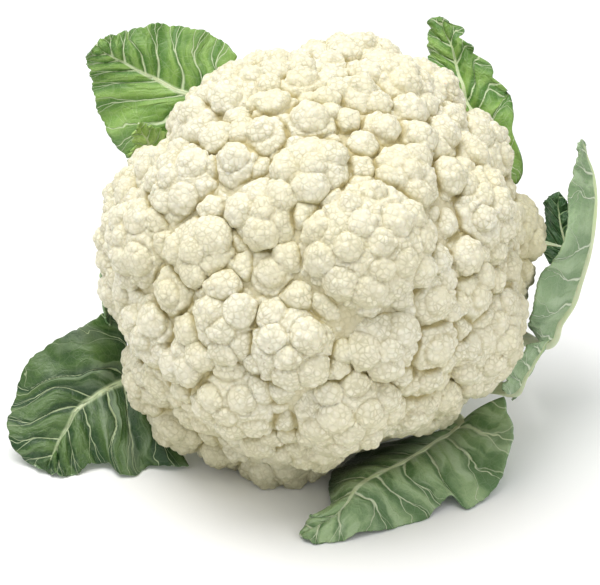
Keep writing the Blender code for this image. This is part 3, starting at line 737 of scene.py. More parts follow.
def blade_grid(leaf, look):
    rows = look["rows"]
    points, across, up, left, right, sizes, _ = leaf_lines(leaf, rows, 7)
    points, across, up, sizes = (v[7:] for v in (points, across, up, sizes))
    share = np.linspace(0, 1, rows)
    length = np.concatenate([[0], np.cumsum(np.linalg.norm(np.diff(points, axis=0), axis=1))])
    swell, waves = leaf["wave"]
    f = np.linspace(0, 1, COLUMNS)
    sheet, vein, side_share, room = [], [], [], []
    for sign, margin in ((-1, left), (1, right)):
        width = np.linalg.norm(margin - points, axis=1)
        slot = sizes[:, 0] + RIB_CLEARANCE + 1.2 * np.maximum(0.0, 1 - 5 * share)
        slot = np.minimum(slot, 0.3 * width) * smooth_step(1.02, RIB_REACH - 0.06, share)
        start = points + sign * across * (0.25 * slot)[:, None]
        q = f[None, :] * width[:, None]
        count, spacing = count_veins(length[:, None] + 0 * q, q, look, 0 if sign < 0 else 1)
        wave = swell * f[None, :] ** 2 * np.sin(2 * math.pi * waves * share + 1.3 * sign)[:, None]
        fade = np.minimum(1.0, 1.6 * (1 - share) + 0.2)[:, None]
        arch = leaf["arch"] * 4 * (f * (1 - f))[None, :] * fade
        within = count - np.floor(count)
        puff = look["puff"] * np.sin(math.pi * within) ** 0.7
        puff = puff * np.sin(math.pi * np.minimum(1, f * 1.25 + 0.1))[None, :]
        puff = puff * smooth_step(0, 0.06, share)[:, None] * smooth_step(1, 0.9, share)[:, None]
        frill = look["frill"] * (f ** 6)[None, :] * np.sin(2 * math.pi * count * 1.5 + sign)
        lobe = look["lobe"][0 if sign < 0 else 1] * (f ** 4)[None, :]
        lobe = lobe * (np.abs(np.cos(math.pi * within)) - 0.6)
        teeth = np.abs(np.sin(math.pi * length / 2.7 + 0.6 * np.sin(length)))
        lobe = lobe + look["teeth"] * (f ** 9)[None, :] * (teeth - 0.5)[:, None]
        grid = (start[:, None] + (margin - start)[:, None] * f[None, :, None]
                + up[:, None] * (wave + arch + puff + frill)[..., None]
                + (unit(margin - points) * np.ones((rows, 1)))[:, None] * lobe[..., None])
        if sign < 0:
            grid, count, spacing = grid[:, ::-1], count[:, ::-1], spacing[:, ::-1]
        sheet.append(grid)
        vein.append(count)
        room.append(spacing)
        side_share.append(np.broadcast_to(f[::-1] if sign < 0 else f, count.shape))
    return np.concatenate(sheet, axis=1), vein, side_share, np.concatenate(room, axis=1)


def build_blade(name, leaf, look, upper, lower, slot):
    grid, vein, side_share, room = blade_grid(leaf, look)
    rows, width = grid.shape[:2]
    grid[..., 2] = np.maximum(grid[..., 2], BLADE_THICKNESS / 2 + 0.05)
    r, c = np.meshgrid(np.arange(rows - 1), np.arange(width - 1), indexing="ij")
    a = (r * width + c).ravel()
    quads = np.column_stack([a, a + 1, a + width + 1, a + width])
    piece = piece_from("blade_" + name, grid.reshape(-1, 3), quads, {"spacing": room.ravel()})
    halves = [np.concatenate(vein, axis=1).ravel(), np.concatenate(side_share, axis=1).ravel()]
    layer = piece.data.uv_layers.new(name="vein")
    corner = np.zeros(len(piece.data.loops), int)
    piece.data.loops.foreach_get("vertex_index", corner)
    layer.data.foreach_set("uv", np.column_stack([halves[0][corner], halves[1][corner]]).ravel())
    piece.data.materials.append(upper)
    piece.data.materials.append(lower)
    bpy.context.view_layer.objects.active = piece
    piece.select_set(True)
    shell = piece.modifiers.new("thickness", "SOLIDIFY")
    shell.thickness = BLADE_THICKNESS * 0.001
    shell.offset = 0
    shell.material_offset = 1
    shell.material_offset_rim = 1
    bpy.ops.object.modifier_apply(modifier=shell.name)
    piece.select_set(False)
    finish_piece(piece, None, slot, "leaf_" + name)
    return piece


# %% [markdown]
# ## Stems and midribs
#
# Stem and midrib are one thick pale body, flat on its upper side and round below, which grows thin
# towards the leaf's tip. It is a row of rings along the leaf's middle line. The cut stubs, whose
# leaves were trimmed off, are short pieces of the same form with a flat cut end.

# %% Build stems and stubs
RIB_SIDES = 20
STUB_RINGS = 24
LOWEST = 0.05            # no stem or stub is lower than this above the surface
CUT_HOLLOW = 0.8


def tube(name, points, across, up, sizes, material, node, cut):
    """Rings along the points, flat and channelled above, round below; a cut end is a little hollow."""
    turn = np.linspace(0, 2 * math.pi, RIB_SIDES, endpoint=False)
    above = np.sin(turn) > 0
    rise = np.where(above, sizes[:, 1:2], sizes[:, 2:3]) * np.sin(turn)
    channel = 0.35 * sizes[:, 1:2] * np.exp(-(np.cos(turn) / 0.42) ** 2) * above
    keel = 1 + 0.05 * np.cos(5 * turn)
    rings = (points[:, None] + across[:, None] * (sizes[:, :1] * np.cos(turn) * keel)[..., None]
             + up[:, None] * (rise * keel - channel)[..., None])
    rings[..., 2] = np.maximum(rings[..., 2], LOWEST)
    count = len(points)
    end = points[-1] - (CUT_HOLLOW if cut else 0) * unit(points[-1] - points[-2])
    piece = piece_from(name, np.vstack([rings.reshape(-1, 3), points[:1], end]),
                       closed_rings(count, RIB_SIDES)[:, ::-1],
                       {"along": np.append(np.repeat(np.linspace(0, 1, count), RIB_SIDES), [0, 1]),
                        "cut": np.append(np.zeros(count * RIB_SIDES + 1), float(cut))})
    mesh = bmesh.new()
    mesh.from_mesh(piece.data)
    bmesh.ops.recalc_face_normals(mesh, faces=mesh.faces)
    mesh.to_mesh(piece.data)
    mesh.free()
    finish_piece(piece, material, "rib", node)


def build_rib(name, leaf, look, material):
    rows = look["rows"]
    points, across, up, _, _, sizes, share = leaf_lines(leaf, rows, 30)
    kept = share <= RIB_REACH + 0.1
    sizes = sizes * np.interp(share, [RIB_REACH - 0.1, RIB_REACH + 0.1], [1, 0.15])[:, None]
    sizes[:, 0] *= np.interp(share, [-0.1, 0.15], [1.0, 0.55])
    sizes[:, 1] = np.maximum(sizes[:, 1], np.interp(share, [0, 0.9], [1.5, 0.7]))
    sizes[:, 2] = np.where(share > 0, np.maximum(sizes[:, 2], 0.55), sizes[:, 2])
    tube("stem_" + name, points[kept], across[kept], up[kept], sizes[kept], material,
         "rib_" + name, False)


def build_stub(name, path, material):
    at = np.linspace(0, len(path) - 1, STUB_RINGS)
    points = along_curve(path, at)
    ahead = unit(np.gradient(points, axis=0))
    across = square_to(side_at_stem(points), ahead)
    sizes = np.linspace(*STUB_SECTIONS, STUB_RINGS)
    tube("cut_" + name, points, across, np.cross(across, ahead), sizes, material, name, True)


# %% [markdown]
# ## Materials
#
# Every finish is made of shader nodes. `add_node` places a node, sets its options and links or sets
# its sockets in one go, and `reckon` does the same for a Math node, so that the recipes stay short.

# %% Node helpers
def feed(socket, value):
    """Links a socket to another one, or sets its constant value."""
    if isinstance(value, bpy.types.NodeSocket):
        socket.id_data.links.new(value, socket)
    else:
        socket.default_value = (*value, 1) if socket.type == "RGBA" else value


def add_node(tree, kind, options=(), **sockets):
    made = tree.nodes.new(kind)
    for label, value in options:
        setattr(made, label, value)
    for label, value in sockets.items():
        feed(made.inputs[label.replace("_", " ")], value)
    return made


def reckon(operation, *values):
    """A Math node on sockets and numbers."""
    tree = next(value.id_data for value in values if isinstance(value, bpy.types.NodeSocket))
    made = tree.nodes.new("ShaderNodeMath")
    made.operation = operation
    for socket, value in zip(made.inputs, values):
        feed(socket, value)
    return made.outputs[0]


def times(a, b):
    return reckon("MULTIPLY", a, b)


def plus(a, b):
    return reckon("ADD", a, b)


def minus(a, b):
    return reckon("SUBTRACT", a, b)


def ramp(value, low, high, start=0.0, end=1.0):
    """A smooth step from start to end while the value goes from low to high."""
    made = add_node(value.id_data, "ShaderNodeMapRange", [("interpolation_type", "SMOOTHSTEP")],
                    Value=value, From_Min=low, From_Max=high, To_Min=start, To_Max=end)
    return made.outputs["Result"]


def blend(share, first, second):
    """A colour between two, by a share from 0 to 1."""
    made = add_node(share.id_data, "ShaderNodeMix", [("data_type", "RGBA")])
    for index, value in ((0, share), (6, first), (7, second)):
        feed(made.inputs[index], value)
    return made.outputs[2]


def noise(place, size, detail=3.0):
    """Noise from 0 to 1 with features of the given size in metres."""
    made = add_node(place.id_data, "ShaderNodeTexNoise", Vector=place, Scale=1 / size, Detail=detail)
    return made.outputs["Fac"]


def axes(vector):
    """The parts of a vector, as sockets X, Y and Z."""
    return add_node(vector.id_data, "ShaderNodeSeparateXYZ", Vector=vector).outputs


def new_finish(name, roughness):
    finish = bpy.data.materials.new(name)
    finish.use_nodes = True
    tree = finish.node_tree
    shader = tree.nodes["Principled BSDF"]
    shader.inputs["Roughness"].default_value = roughness
    place = add_node(tree, "ShaderNodeTexCoord").outputs["Object"]
    return finish, tree, shader, place


def kept_number(tree, label):
    return add_node(tree, "ShaderNodeAttribute", [("attribute_name", label)]).outputs["Fac"]


def new_group(name, inputs, outputs):
    """A node group. Its inputs have their usual value, None for a place; its outputs are numbers."""
    group = bpy.data.node_groups.new(name, "ShaderNodeTree")
    for label, value in inputs.items():
        kind = "NodeSocketVector" if value is None else "NodeSocketFloat"
        socket = group.interface.new_socket(label, in_out="INPUT", socket_type=kind)
        if value is not None:
            socket.default_value = value
    for label in outputs:
        group.interface.new_socket(label, in_out="OUTPUT", socket_type="NodeSocketFloat")
    return group, group.nodes.new("NodeGroupInput").outputs, group.nodes.new("NodeGroupOutput").inputs


def use_group(tree, group, **sockets):
    return add_node(tree, "ShaderNodeGroup", [("node_tree", group)], **sockets).outputs


def cells_to_edge(tree, place, scale):
    """Distance to the nearest edge between two Voronoi cells."""
    made = add_node(tree, "ShaderNodeTexVoronoi", [("feature", "DISTANCE_TO_EDGE")], Vector=place,
                    Scale=scale)
    return made.outputs["Distance"]


# %% [markdown]
# ## The curd's finish
#
# A curd is matt and cream, and its smallest buds are beads of one to two millimetres. Voronoi cells
# make good beads: the distance to a cell's middle is low on top and high in the gaps. The group
# gives their relief and the gaps between them, where painted shade draws darker lines. The creases,
# and the pits between clusters, are darker and more yellow and olive than the tops: painted shade,
# with a few brown specks deep in them. The smooth stems are a greenish white. Painted shade also
# darkens the curd near the floor, where it faces down, and on its right side low down, under the
# right leaf.

# %% Beads and curd


def make_bead_group():
    group, given, out = new_group("beads", {"Vector": None, "Size": 0.002}, ["Height", "Gap"])
    scale = reckon("DIVIDE", 1.0, given["Size"])
    sway = add_node(group, "ShaderNodeTexNoise", Vector=given["Vector"], Scale=300.0, Detail=1.0)
    moved = add_node(group, "ShaderNodeVectorMath", [("operation", "MULTIPLY_ADD")])
    group.links.new(sway.outputs["Color"], moved.inputs[0])
    moved.inputs[1].default_value = (0.0011, 0.0011, 0.0011)
    group.links.new(given["Vector"], moved.inputs[2])
    edge = cells_to_edge(group, moved.outputs[0], scale)
    fine = cells_to_edge(group, given["Vector"], times(scale, 1.9))
    middles = add_node(group, "ShaderNodeTexVoronoi", Vector=moved.outputs[0], Scale=scale)
    away = middles.outputs["Distance"]
    dome = minus(1.0, reckon("POWER", times(away, 1.15), 2.0))
    grains = ramp(fine, -0.05, 0.4, 0.0, 0.15)
    height = plus(plus(dome, ramp(edge, 0.0, 0.2, 0.0, 0.2)), grains)
    group.links.new(height, out["Height"])
    group.links.new(ramp(edge, 0.0, 0.24, 1.0, 0.0), out["Gap"])
    return group


bead_group = make_bead_group()


def make_curd_finish():
    finish, tree, shader, place = new_finish("curd_cream", 0.62)
    fold, pit, stem = (kept_number(tree, label) for label in ("fold", "pit", "stem"))
    beads = use_group(tree, bead_group, Vector=place, Size=0.0021)
    buds = minus(1.0, ramp(stem, 0.15, 0.6))
    cream = blend(ramp(noise(place, 0.03), 0.3, 0.7), (0.88, 0.85, 0.70), (0.86, 0.815, 0.61))
    # painted shade in the gaps between the beads, drawn as darker lines
    lines = times(beads["Gap"], ramp(noise(place, 0.006), 0.3, 0.7, 0.15, 0.62))
    colour = blend(times(lines, buds), cream, (0.50, 0.46, 0.28))
    # painted shade in the pits between the clusters
    colour = blend(times(ramp(pit, 0.55, 1.0), 0.16), colour, (0.60, 0.54, 0.32))
    # painted shade, olive, in the creases between florets and domes and in the core's grooves
    colour = blend(times(ramp(fold, 0.25, 0.95), 0.85), colour, (0.50, 0.42, 0.19))
    specks = times(ramp(noise(place, 0.0028), 0.62, 0.72), ramp(noise(place, 0.022), 0.52, 0.66))
    specks = times(specks, ramp(plus(fold, pit), 0.4, 1.2))
    colour = blend(times(specks, 0.65), colour, (0.33, 0.24, 0.10))
    stalky = blend(noise(place, 0.012), (0.80, 0.82, 0.60), (0.66, 0.72, 0.42))
    colour = blend(ramp(stem, 0.25, 0.9), colour, stalky)
    parts = axes(place)
    # painted shade: the curd darker and more olive near the floor
    colour = blend(ramp(parts["Z"], 0.0, 0.06, 0.6, 0.0), colour, (0.44, 0.41, 0.24))
    # painted shade on the sides of the curd that face down
    facing = axes(add_node(tree, "ShaderNodeTexCoord").outputs["Normal"])["Z"]
    colour = blend(ramp(facing, -0.75, 0.0, 0.50, 0.0), colour, (0.42, 0.40, 0.22))
    # painted shade on the curd's right side, low down, under the right leaf
    shaded = times(ramp(parts["X"], 0.072, 0.090, 0.0, 0.55), ramp(parts["Z"], 0.10, 0.12, 1.0, 0.0))
    colour = blend(shaded, colour, (0.52, 0.48, 0.27))
    tree.links.new(colour, shader.inputs["Base Color"])
    height = plus(times(beads["Height"], buds), times(noise(place, 0.0009), 0.25))
    bump = add_node(tree, "ShaderNodeBump", Strength=0.65, Distance=0.0004, Height=height)
    tree.links.new(bump.outputs["Normal"], shader.inputs["Normal"])
    shader.inputs["Subsurface Weight"].default_value = 0.12
    shader.inputs["Subsurface Radius"].default_value = (1.0, 0.75, 0.4)
    shader.inputs["Subsurface Scale"].default_value = 0.0025
    shader.inputs["Specular IOR Level"].default_value = 0.35
    return finish


curd_finish = make_curd_finish()

# %% [markdown]
# ## The leaves' finish
#
# A leaf's side veins are read from its own coordinates: where the count is a whole number, there is
# a vein. Two fork lines leave each vein further out and drift away from it. Between them a net of
# Voronoi edges stands for the finest veins. The upper side is green with pale sunken veins, and its
# panels are painted paler in the middle and darker by the veins, with pale streaks of painted
# highlight along the wrinkles. The lower side is paler, with a grey bloom and raised veins. The bloom
# lies along the same streaks, partly a painted sheen, and painted shade darkens the leaves low under
# the head.

# %% Veins and leaf finishes
# How far a line drifts from its side vein, between which shares, and how strong it is.
FORKS = ((0.0, -1.0, -0.5, 1.0), (0.40, 0.36, 1.1, 0.75), (-0.30, 0.58, 1.25, 0.6))
# Size of the net's cells in metres, width of its lines and how strong they are.
NETS = ((0.0052, 0.055, 0.8), (0.0021, 0.09, 0.5))
# colour of the painted shade that the head casts on the leaves under it
HEAD_SHADE = (0.012, 0.030, 0.009)


def off_the_line(count):
    """Distance from the nearest whole number."""
    return reckon("ABSOLUTE", minus(reckon("FRACT", plus(count, 0.5)), 0.5))


def make_vein_group():
    group, given, out = new_group(
        "veins", {"Vector": None, "Count": 0.0, "Share": 0.0, "Width": 0.5, "Spacing": 9.0},
        ["Vein", "Net", "Panel", "Streak"])
    share = given["Share"]
    sway = times(minus(noise(given["Vector"], 0.014, 2.0), 0.5), 0.45)
    kink = times(minus(noise(given["Vector"], 0.006, 1.0), 0.5), 0.22)
    sway = plus(sway, kink)
    count = plus(given["Count"], sway)
    width = reckon("DIVIDE", times(given["Width"], ramp(share, 0.0, 0.9, 1.25, 0.22)), given["Spacing"])
    panel = ramp(off_the_line(count), 0.03, 0.40)
    streaks = add_node(group, "ShaderNodeCombineXYZ", X=times(count, 2.6), Y=times(share, 1.7),
                       Z=times(noise(given["Vector"], 0.03), 1.5))
    streak = add_node(group, "ShaderNodeTexNoise", Vector=streaks.outputs[0], Scale=1.0, Detail=3.0,
                      Distortion=0.4)
    group.links.new(panel, out["Panel"])
    group.links.new(ramp(streak.outputs["Fac"], 0.30, 0.72), out["Streak"])
    veins = None
    for drift, begins, ends, strength in FORKS:
        moved = minus(count, ramp(share, begins, ends, 0.0, drift))
        line = reckon("DIVIDE", off_the_line(moved), width)
        line = times(ramp(line, 0.45, 1.35, 1.0, 0.0), strength)
        if drift:
            line = times(line, ramp(share, begins, begins + 0.08))
        veins = line if veins is None else reckon("MAXIMUM", veins, line)
    net = None
    for size, edge, strength in NETS:
        cells = cells_to_edge(group, given["Vector"], 1 / size)
        line = times(ramp(cells, 0.0, edge, 1.0, 0.0), strength)
        net = line if net is None else reckon("MAXIMUM", net, line)
    group.links.new(veins, out["Vein"])
    group.links.new(net, out["Net"])
    return group


vein_group = make_vein_group()


def make_leaf_finish(name, dark, light, vein_colour, bloom_and_sheen, width, net_share, raised, roughness):
    finish, tree, shader, place = new_finish(name, roughness)
    own = add_node(tree, "ShaderNodeUVMap", [("uv_map", "vein")]).outputs["UV"]
    parts = axes(own)
    veins = use_group(tree, vein_group, Vector=place, Count=parts["X"], Share=parts["Y"], Width=width,
                      Spacing=kept_number(tree, "spacing"))
    # painted light and shade: panels paler in their middles and darker by the veins, pale streaks of painted
    # highlight along the wrinkles, and the leaf's own uneven tone
    lit = plus(times(veins["Panel"], 0.45), times(veins["Streak"], 0.55))
    lit = plus(lit, ramp(noise(place, 0.02), 0.3, 0.7, -0.2, 0.2))
    green = blend(ramp(lit, 0.15, 0.95), dark, light)
    green = blend(times(noise(place, 0.0012), 0.35), green, dark)
    # the grey bloom lies along the pale streaks, so it is partly a painted sheen
    bloom_sheen_share = times(ramp(noise(place, 0.035), 0.35, 0.75), ramp(veins["Streak"], 0.35, 1.0, 0.0, bloom_and_sheen))
    green = blend(bloom_sheen_share, green, (0.46, 0.54, 0.42))
    green = blend(times(veins["Net"], net_share), green, vein_colour)
    green = blend(ramp(parts["Y"], 0.0, 0.05, 0.85, 0.0), green, vein_colour)
    colour = blend(times(veins["Vein"], 0.92), green, vein_colour)
    # painted shade of the head on the leaves that lie low under it
    at = axes(place)
    out = plus(times(at["X"], at["X"]), times(at["Y"], at["Y"]))
    under = times(ramp(out, 0.048 ** 2, 0.065 ** 2, 0.92, 0.0), ramp(at["Z"], 0.03, 0.06, 1.0, 0.0))
    colour = blend(under, colour, HEAD_SHADE)
    tree.links.new(colour, shader.inputs["Base Color"])
    lines = plus(veins["Vein"], times(veins["Net"], 0.30))
    rough = plus(times(noise(place, 0.0015), 0.25), times(veins["Streak"], 1.2))
    height = plus(times(lines, raised), rough)
    bump = add_node(tree, "ShaderNodeBump", Strength=0.8, Distance=0.0007, Height=height)
    tree.links.new(bump.outputs["Normal"], shader.inputs["Normal"])
    uneven = ramp(noise(place, 0.008), 0.2, 0.8, roughness - 0.06, roughness + 0.10)
    tree.links.new(uneven, shader.inputs["Roughness"])
    shader.inputs["Subsurface Weight"].default_value = 0.08
    shader.inputs["Subsurface Radius"].default_value = (0.6, 1.0, 0.3)
    shader.inputs["Subsurface Scale"].default_value = 0.001
    return finish


# Darkest and lightest green, colour of the veins, bloom with its painted sheen along the streaks,
# width of the veins, share of the net, how far the veins stand out, and roughness.
LEAF_FINISHES = {
    "leaf_bright": ((0.075, 0.195, 0.022), (0.270, 0.450, 0.090), (0.66, 0.77, 0.48),
        0.14, 0.66, 0.14, -0.8, 0.42),
    "leaf_fresh": ((0.210, 0.380, 0.060), (0.440, 0.620, 0.170), (0.66, 0.77, 0.48),
        0.05, 0.36, 0.16, -0.7, 0.42),
    "leaf_dark": ((0.014, 0.056, 0.010), (0.100, 0.185, 0.042), (0.52, 0.62, 0.36),
        0.42, 0.40, 0.07, -0.7, 0.42),
    "leaf_deep": ((0.020, 0.080, 0.020), (0.040, 0.130, 0.030), (0.30, 0.45, 0.22),
        0.12, 0.40, 0.15, -0.6, 0.42),
    "leaf_low": ((0.090, 0.185, 0.060), (0.380, 0.520, 0.260), (0.66, 0.74, 0.50),
        0.45, 0.60, 0.12, -0.7, 0.42),
    "leaf_underside": ((0.200, 0.310, 0.150), (0.370, 0.500, 0.280), (0.68, 0.76, 0.56),
        0.25, 0.50, 0.12, 0.9, 0.55),
    "leaf_green_underside": ((0.120, 0.230, 0.090), (0.210, 0.340, 0.160), (0.62, 0.72, 0.48),
        0.30, 0.70, 0.25, 0.9, 0.55),
}
leaf_finishes = {name: make_leaf_finish(name, *values) for name, values in LEAF_FINISHES.items()}


def make_rib_finish():
    finish, tree, shader, place = new_finish("rib_pale_green", 0.45)
    along, cut = kept_number(tree, "along"), kept_number(tree, "cut")
    streak = add_node(tree, "ShaderNodeTexNoise", Vector=place, Scale=420.0, Detail=2.0).outputs["Fac"]
    pale = blend(ramp(noise(place, 0.018), 0.3, 0.7), (0.62, 0.70, 0.42), (0.74, 0.78, 0.56))
    pale = blend(times(streak, 0.35), pale, (0.50, 0.62, 0.30))
    pale = blend(ramp(along, 0.0, 0.35, 0.55, 0.0), pale, (0.82, 0.84, 0.68))
    pale = blend(ramp(along, 0.55, 0.95, 0.0, 0.6), pale, (0.40, 0.55, 0.24))
    dry = blend(noise(place, 0.0015), (0.62, 0.55, 0.34), (0.78, 0.72, 0.50))
    colour = blend(ramp(cut, 0.02, 0.5), pale, dry)
    tree.links.new(colour, shader.inputs["Base Color"])
    bump = add_node(tree, "ShaderNodeBump", Strength=0.5, Distance=0.0004, Height=streak)
    tree.links.new(bump.outputs["Normal"], shader.inputs["Normal"])
    shader.inputs["Subsurface Weight"].default_value = 0.1
    shader.inputs["Subsurface Scale"].default_value = 0.002
    return finish


def make_stalk_finish():
    finish, tree, shader, place = new_finish("stalk_pale_green", 0.5)
    ring, cut = kept_number(tree, "ring"), kept_number(tree, "cut")
    skin = blend(ramp(noise(place, 0.010), 0.3, 0.7), (0.66, 0.72, 0.44), (0.78, 0.80, 0.58))
    skin = blend(times(noise(place, 0.002), 0.4), skin, (0.52, 0.60, 0.32))
    pith = blend(noise(place, 0.004), (0.80, 0.78, 0.58), (0.72, 0.68, 0.44))
    strands = times(ramp(reckon("ABSOLUTE", minus(ring, 0.74)), 0.03, 0.09, 1.0, 0.0),
                     ramp(noise(place, 0.0016), 0.35, 0.6))
    pith = blend(strands, pith, (0.50, 0.46, 0.22))
    pith = blend(ramp(ring, 0.9, 0.99), pith, (0.52, 0.50, 0.26))
    colour = blend(ramp(cut, 0.4, 0.6), skin, pith)
    tree.links.new(colour, shader.inputs["Base Color"])
    bump = add_node(tree, "ShaderNodeBump", Strength=0.6, Distance=0.0005, Height=noise(place, 0.0012))
    tree.links.new(bump.outputs["Normal"], shader.inputs["Normal"])
    return finish


rib_finish = make_rib_finish()
stalk_finish = make_stalk_finish()

# %% How each leaf is veined
# Where a leaf has `veins`, each is a line of points: millimetres along the midrib and from it, for
# the left half and then the right one. They were read from the photograph, and a separate program
# turned them into these places. The other leaves have veins at an even spacing.
EVEN = {"rows": 90, "slant": (0.7, 0.7), "bend": 0.05, "spacing": 8.5, "puff": 0.9, "frill": 0.25,
        "lobe": (1.0, 1.0), "teeth": 0.5, "upper": "leaf_bright", "lower": "leaf_green_underside"}
LEAF_LOOKS = {
    "top_left": {**EVEN, "rows": 110, "puff": 1.3, "veins": (
        [[(3, 0), (6, 12), (6, 21)], [(11, 0), (16, 11), (19, 23), (19, 29)], [(25, 0), (28, 9), (29, 14)],
         [(35, 0), (37, 9)], [(43, 0), (44, 7)], [(49, 0), (50, 5)]],
        [[(3, 0), (9, 10), (14, 17)], [(13, 0), (15, 7), (21, 14), (23, 21)], [(25, 0), (27, 9), (31, 19)],
         [(31, 0), (34, 7), (40, 10)], [(40, 0), (42, 5)], [(46, 0), (48, 4)]])},
    "small_left": {**EVEN, "rows": 70, "spacing": 6.0, "puff": 0.6, "lobe": (1.6, 1.6), "teeth": 1.7,
                   "upper": "leaf_fresh", "lower": "leaf_fresh"},
    "top_right": {**EVEN, "rows": 110, "lobe": (1.6, 4.2), "teeth": 0.3, "puff": 1.3, "veins": (
        [[(8, 0), (12, 10)], [(20, 0), (23, 12)], [(31, 0), (34, 6), (34, 14)], [(39, 0), (38.5, 13)],
         [(46, 0), (44.5, 12)]],
        [[(3, 0), (14, 20), (20, 33)], [(8, 0), (25, 16), (33, 21)], [(14, 0), (24, 8), (32, 13)],
         [(20, 0), (32, 7), (41, 8)], [(38, 0), (48, 6)], [(47, 0), (53, 4)]])},
    "right_back": {**EVEN, "rows": 60, "spacing": 7.0, "upper": "leaf_deep"},
    "right": {**EVEN, "rows": 115, "puff": 1.0, "upper": "leaf_dark", "lower": "leaf_underside", "veins": (
        [[(14, 0), (12, 12), (14, 26)], [(30, 0), (28, 9), (31, 25)], [(46, 0), (43, 8), (47, 19)],
         [(66, 0), (70, 12)]],
        [[(4, 0), (2, 20)], [(20, 0), (19, 7), (14, 18)], [(31, 0), (29, 10), (36, 22)],
         [(46, 0), (44, 9), (42, 21)],
         [(65, 0), (69, 12)]])},
    "right_low": {**EVEN, "rows": 70, "slant": (0.4, 0.4), "spacing": 9.0, "upper": "leaf_dark",
                  "lower": "leaf_underside"},
    "bottom_right": {**EVEN, "rows": 130, "puff": 1.5, "upper": "leaf_low", "veins": (
        [[(5, 0), (7, 16), (7, 25)], [(11, 0), (12, 5), (14, 13), (13, 29)], [(24, 0), (27, 10), (32, 19)],
         [(39, 0), (44, 6), (45, 12), (44, 17)], [(54, 0), (55, 9), (53, 14), (50, 19)],
         [(69, 0), (65, 7), (65, 10)],
         [(80, 0), (79, 7)], [(88, 0), (88, 4)]],
        [[(6, 0), (9, 10)], [(18, 0), (23, 11)], [(30, 0), (37, 20)], [(44, 0), (52, 22)],
         [(58, 0), (65, 20)],
         [(70, 0), (75, 10)], [(82, 0), (86, 5)]])},
    "bottom_left": {**EVEN, "rows": 115, "puff": 1.9, "upper": "leaf_dark", "veins": (
        [[(6, 0), (12, 17), (13, 24), (15, 34)], [(14, 0), (15, 15), (21, 26)],
         [(25, 0), (27, 7), (28, 13), (27, 21)],
         [(37, 0), (38, 13)], [(46, 0), (47, 8)], [(51, 0), (52, 5)]],
        [[(-6, 0), (2, 14), (12, 26)], [(3, 0), (10, 7), (17, 9), (26, 16), (31, 21)],
         [(20, 0), (25, 10), (31, 16), (36, 24)],
         [(27, 0), (32, 6), (39, 14), (40, 21)], [(42, 0), (43, 7), (46, 15)], [(50, 0), (51, 6)]])},
    "back_top": {**EVEN, "rows": 70, "upper": "leaf_bright"},
    "back_left": {**EVEN, "rows": 70, "upper": "leaf_dark"},
}
print(len(leaf_finishes), "leaf finishes")

# %% [markdown]
# ## The stalk
#
# The stems end close to the stalk, a thick cylinder cut flat below the head. Its cut face is a
# little hollow, because the soft pith dries first, with a ring of woody strands round it.

# %% Build the stalk
# Distance below the head's centre along the axis, and radius there.
STALK_PROFILE = [(52, 17.5), (58.2, 18.6), (60, 20.2), (64, 21.1), (70, 21.5), (76, 21.5),
                 (82, 21.3), (83.6, 20.9), (84, 20.4)]
STALK_SIDES = 120
STALK_RINGS = 60
CUT_RINGS = np.linspace(0.95, 0.08, 24)      # of the cut face, as shares of its radius
PITH_HOLLOW = 1.0                            # how deep the middle of the cut face lies


def build_stalk(material):
    top, bottom = STALK_PROFILE[0][0], STALK_PROFILE[-1][0]
    rings = along_curve(STALK_PROFILE, np.linspace(0, len(STALK_PROFILE) - 1, STALK_RINGS))
    turn, out = round_the_axis(STALK_SIDES)
    wide = rings[:, 1:2] * (1 + 0.012 * np.cos(3 * turn + rings[:, :1] * 0.05))
    wide = wide - 0.22 * np.abs(np.sin(11 * turn + 0.8 * np.sin(2 * turn)))[None, :] ** 6
    body = wide[..., None] * out - rings[:, :1, None] * AXIS
    face = []
    for inner in CUT_RINGS:
        strands = 0.25 * math.exp(-((inner - 0.72) / 0.06) ** 2)
        hollow = PITH_HOLLOW * smooth_step(1.0, 0.25, inner) - strands
        face.append(inner * wide[-1][:, None] * out - (bottom - hollow) * AXIS)
    points = np.vstack([body.reshape(-1, 3), np.array(face).reshape(-1, 3),
                        [-top * AXIS, (PITH_HOLLOW - bottom) * AXIS]])
    ring = np.concatenate([np.ones(STALK_RINGS * STALK_SIDES), np.repeat(CUT_RINGS, STALK_SIDES),
                           [1.0, 0.0]])
    cut = np.concatenate([np.zeros((STALK_RINGS - 2) * STALK_SIDES),
                          np.ones((len(CUT_RINGS) + 2) * STALK_SIDES), [0.0, 1.0]])
    piece = piece_from("cut_stalk", points + HEAD_CENTRE,
                       closed_rings(STALK_RINGS + len(CUT_RINGS), STALK_SIDES),
                       {"ring": ring, "cut": cut})
    finish_piece(piece, material, "stalk", "stalk")


# %% Put every piece on the head
finish_piece(core, curd_finish, "curd", "curd")
for cluster_piece in florets:
    finish_piece(cluster_piece, curd_finish, "curd", "curd")
build_stalk(stalk_finish)
for leaf_name, leaf in LEAVES.items():
    look = LEAF_LOOKS[leaf_name]
    build_blade(leaf_name, leaf, look, leaf_finishes[look["upper"]], leaf_finishes[look["lower"]],
                "leaf_pale" if leaf_name in ("right", "right_low") else "leaf")
    build_rib(leaf_name, leaf, look, rib_finish)
for stub_name, path in STUBS.items():
    build_stub(stub_name, path, rib_finish)

# %% [markdown]
# ## Floor, light and camera
#
# The floor is plain and nearly white. One large soft light hangs over the head, to the left and a
# little in front, and the pale sky fills the shadows. The camera is 0.8 m away and looks down at 28
# degrees, and its lens shows the middle of the head at 2.54 pixels a millimetre.

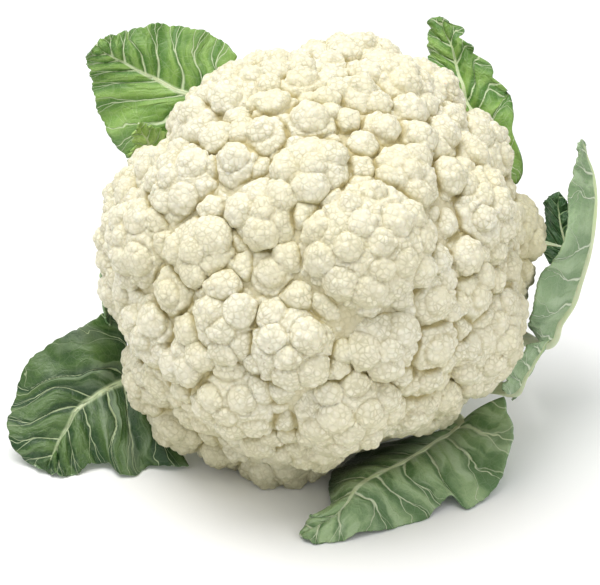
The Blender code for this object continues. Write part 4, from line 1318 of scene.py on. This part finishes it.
# %% Floor and light
bpy.ops.object.select_all(action="DESELECT")
bpy.ops.mesh.primitive_plane_add(size=8)
floor = bpy.context.object
floor.name = "floor"
floor_finish = bpy.data.materials.new("white_floor")
floor_finish.use_nodes = True
floor_shader = floor_finish.node_tree.nodes["Principled BSDF"]
floor_shader.inputs["Base Color"].default_value = (0.96, 0.96, 0.96, 1)
floor_shader.inputs["Roughness"].default_value = 0.9
floor.data.materials.append(floor_finish)


def soft_light(name, place, size, power, colour):
    bpy.ops.object.light_add(type="AREA", location=place)
    light = bpy.context.object
    light.name = name
    light.data.size = size
    light.data.energy = power
    light.data.color = colour
    light.rotation_euler = (Vector((0, 0, 0.07)) - Vector(place)).to_track_quat("-Z", "Y").to_euler()
    return light


soft_light("main_light", (-0.3, -0.04, 1.25), 0.9, 12, (1.0, 0.99, 0.97))
soft_light("front_light", (0.9, -0.8, 0.5), 0.6, 1.8, (1.0, 0.99, 0.97))
world = bpy.data.worlds.new("pale_sky")
world.use_nodes = True
sky = world.node_tree
sky_way = axes(add_node(sky, "ShaderNodeTexCoord").outputs["Generated"])["Z"]
sky.nodes["Background"].inputs["Color"].default_value = (0.98, 0.99, 1.0, 1)
sky.links.new(ramp(sky_way, -0.1, 0.9, 0.24, 0.85), sky.nodes["Background"].inputs["Strength"])
bpy.context.scene.world = world
bpy.context.scene.view_settings.view_transform = "Standard"

# %% Camera
PICTURE = (600, 585)     # pixels across and down
HEAD_PIXEL = (312, 262)  # where the head's middle is in the picture
PIXELS_A_MM = 2.54
DISTANCE = 0.8
LOOKING_DOWN = math.radians(28)
SENSOR = 36.0
ahead = np.array([0.0, math.cos(LOOKING_DOWN), -math.sin(LOOKING_DOWN)])
camera_up = np.array([0.0, math.sin(LOOKING_DOWN), math.cos(LOOKING_DOWN)])
head_right = (HEAD_PIXEL[0] - PICTURE[0] / 2) / PIXELS_A_MM
head_up = (PICTURE[1] / 2 - HEAD_PIXEL[1]) / PIXELS_A_MM
aim = (HEAD_CENTRE + SHIFT - head_right * ACROSS - head_up * camera_up) * 0.001
bpy.ops.object.camera_add(location=aim - DISTANCE * ahead)
camera = bpy.context.object
camera.rotation_euler = Vector(ahead).to_track_quat("-Z", "Y").to_euler()
camera.data.sensor_width = SENSOR
camera.data.lens = SENSOR * DISTANCE / (PICTURE[0] / PIXELS_A_MM * 0.001)
bpy.context.scene.camera = camera
print("lens", round(camera.data.lens, 1), "mm")
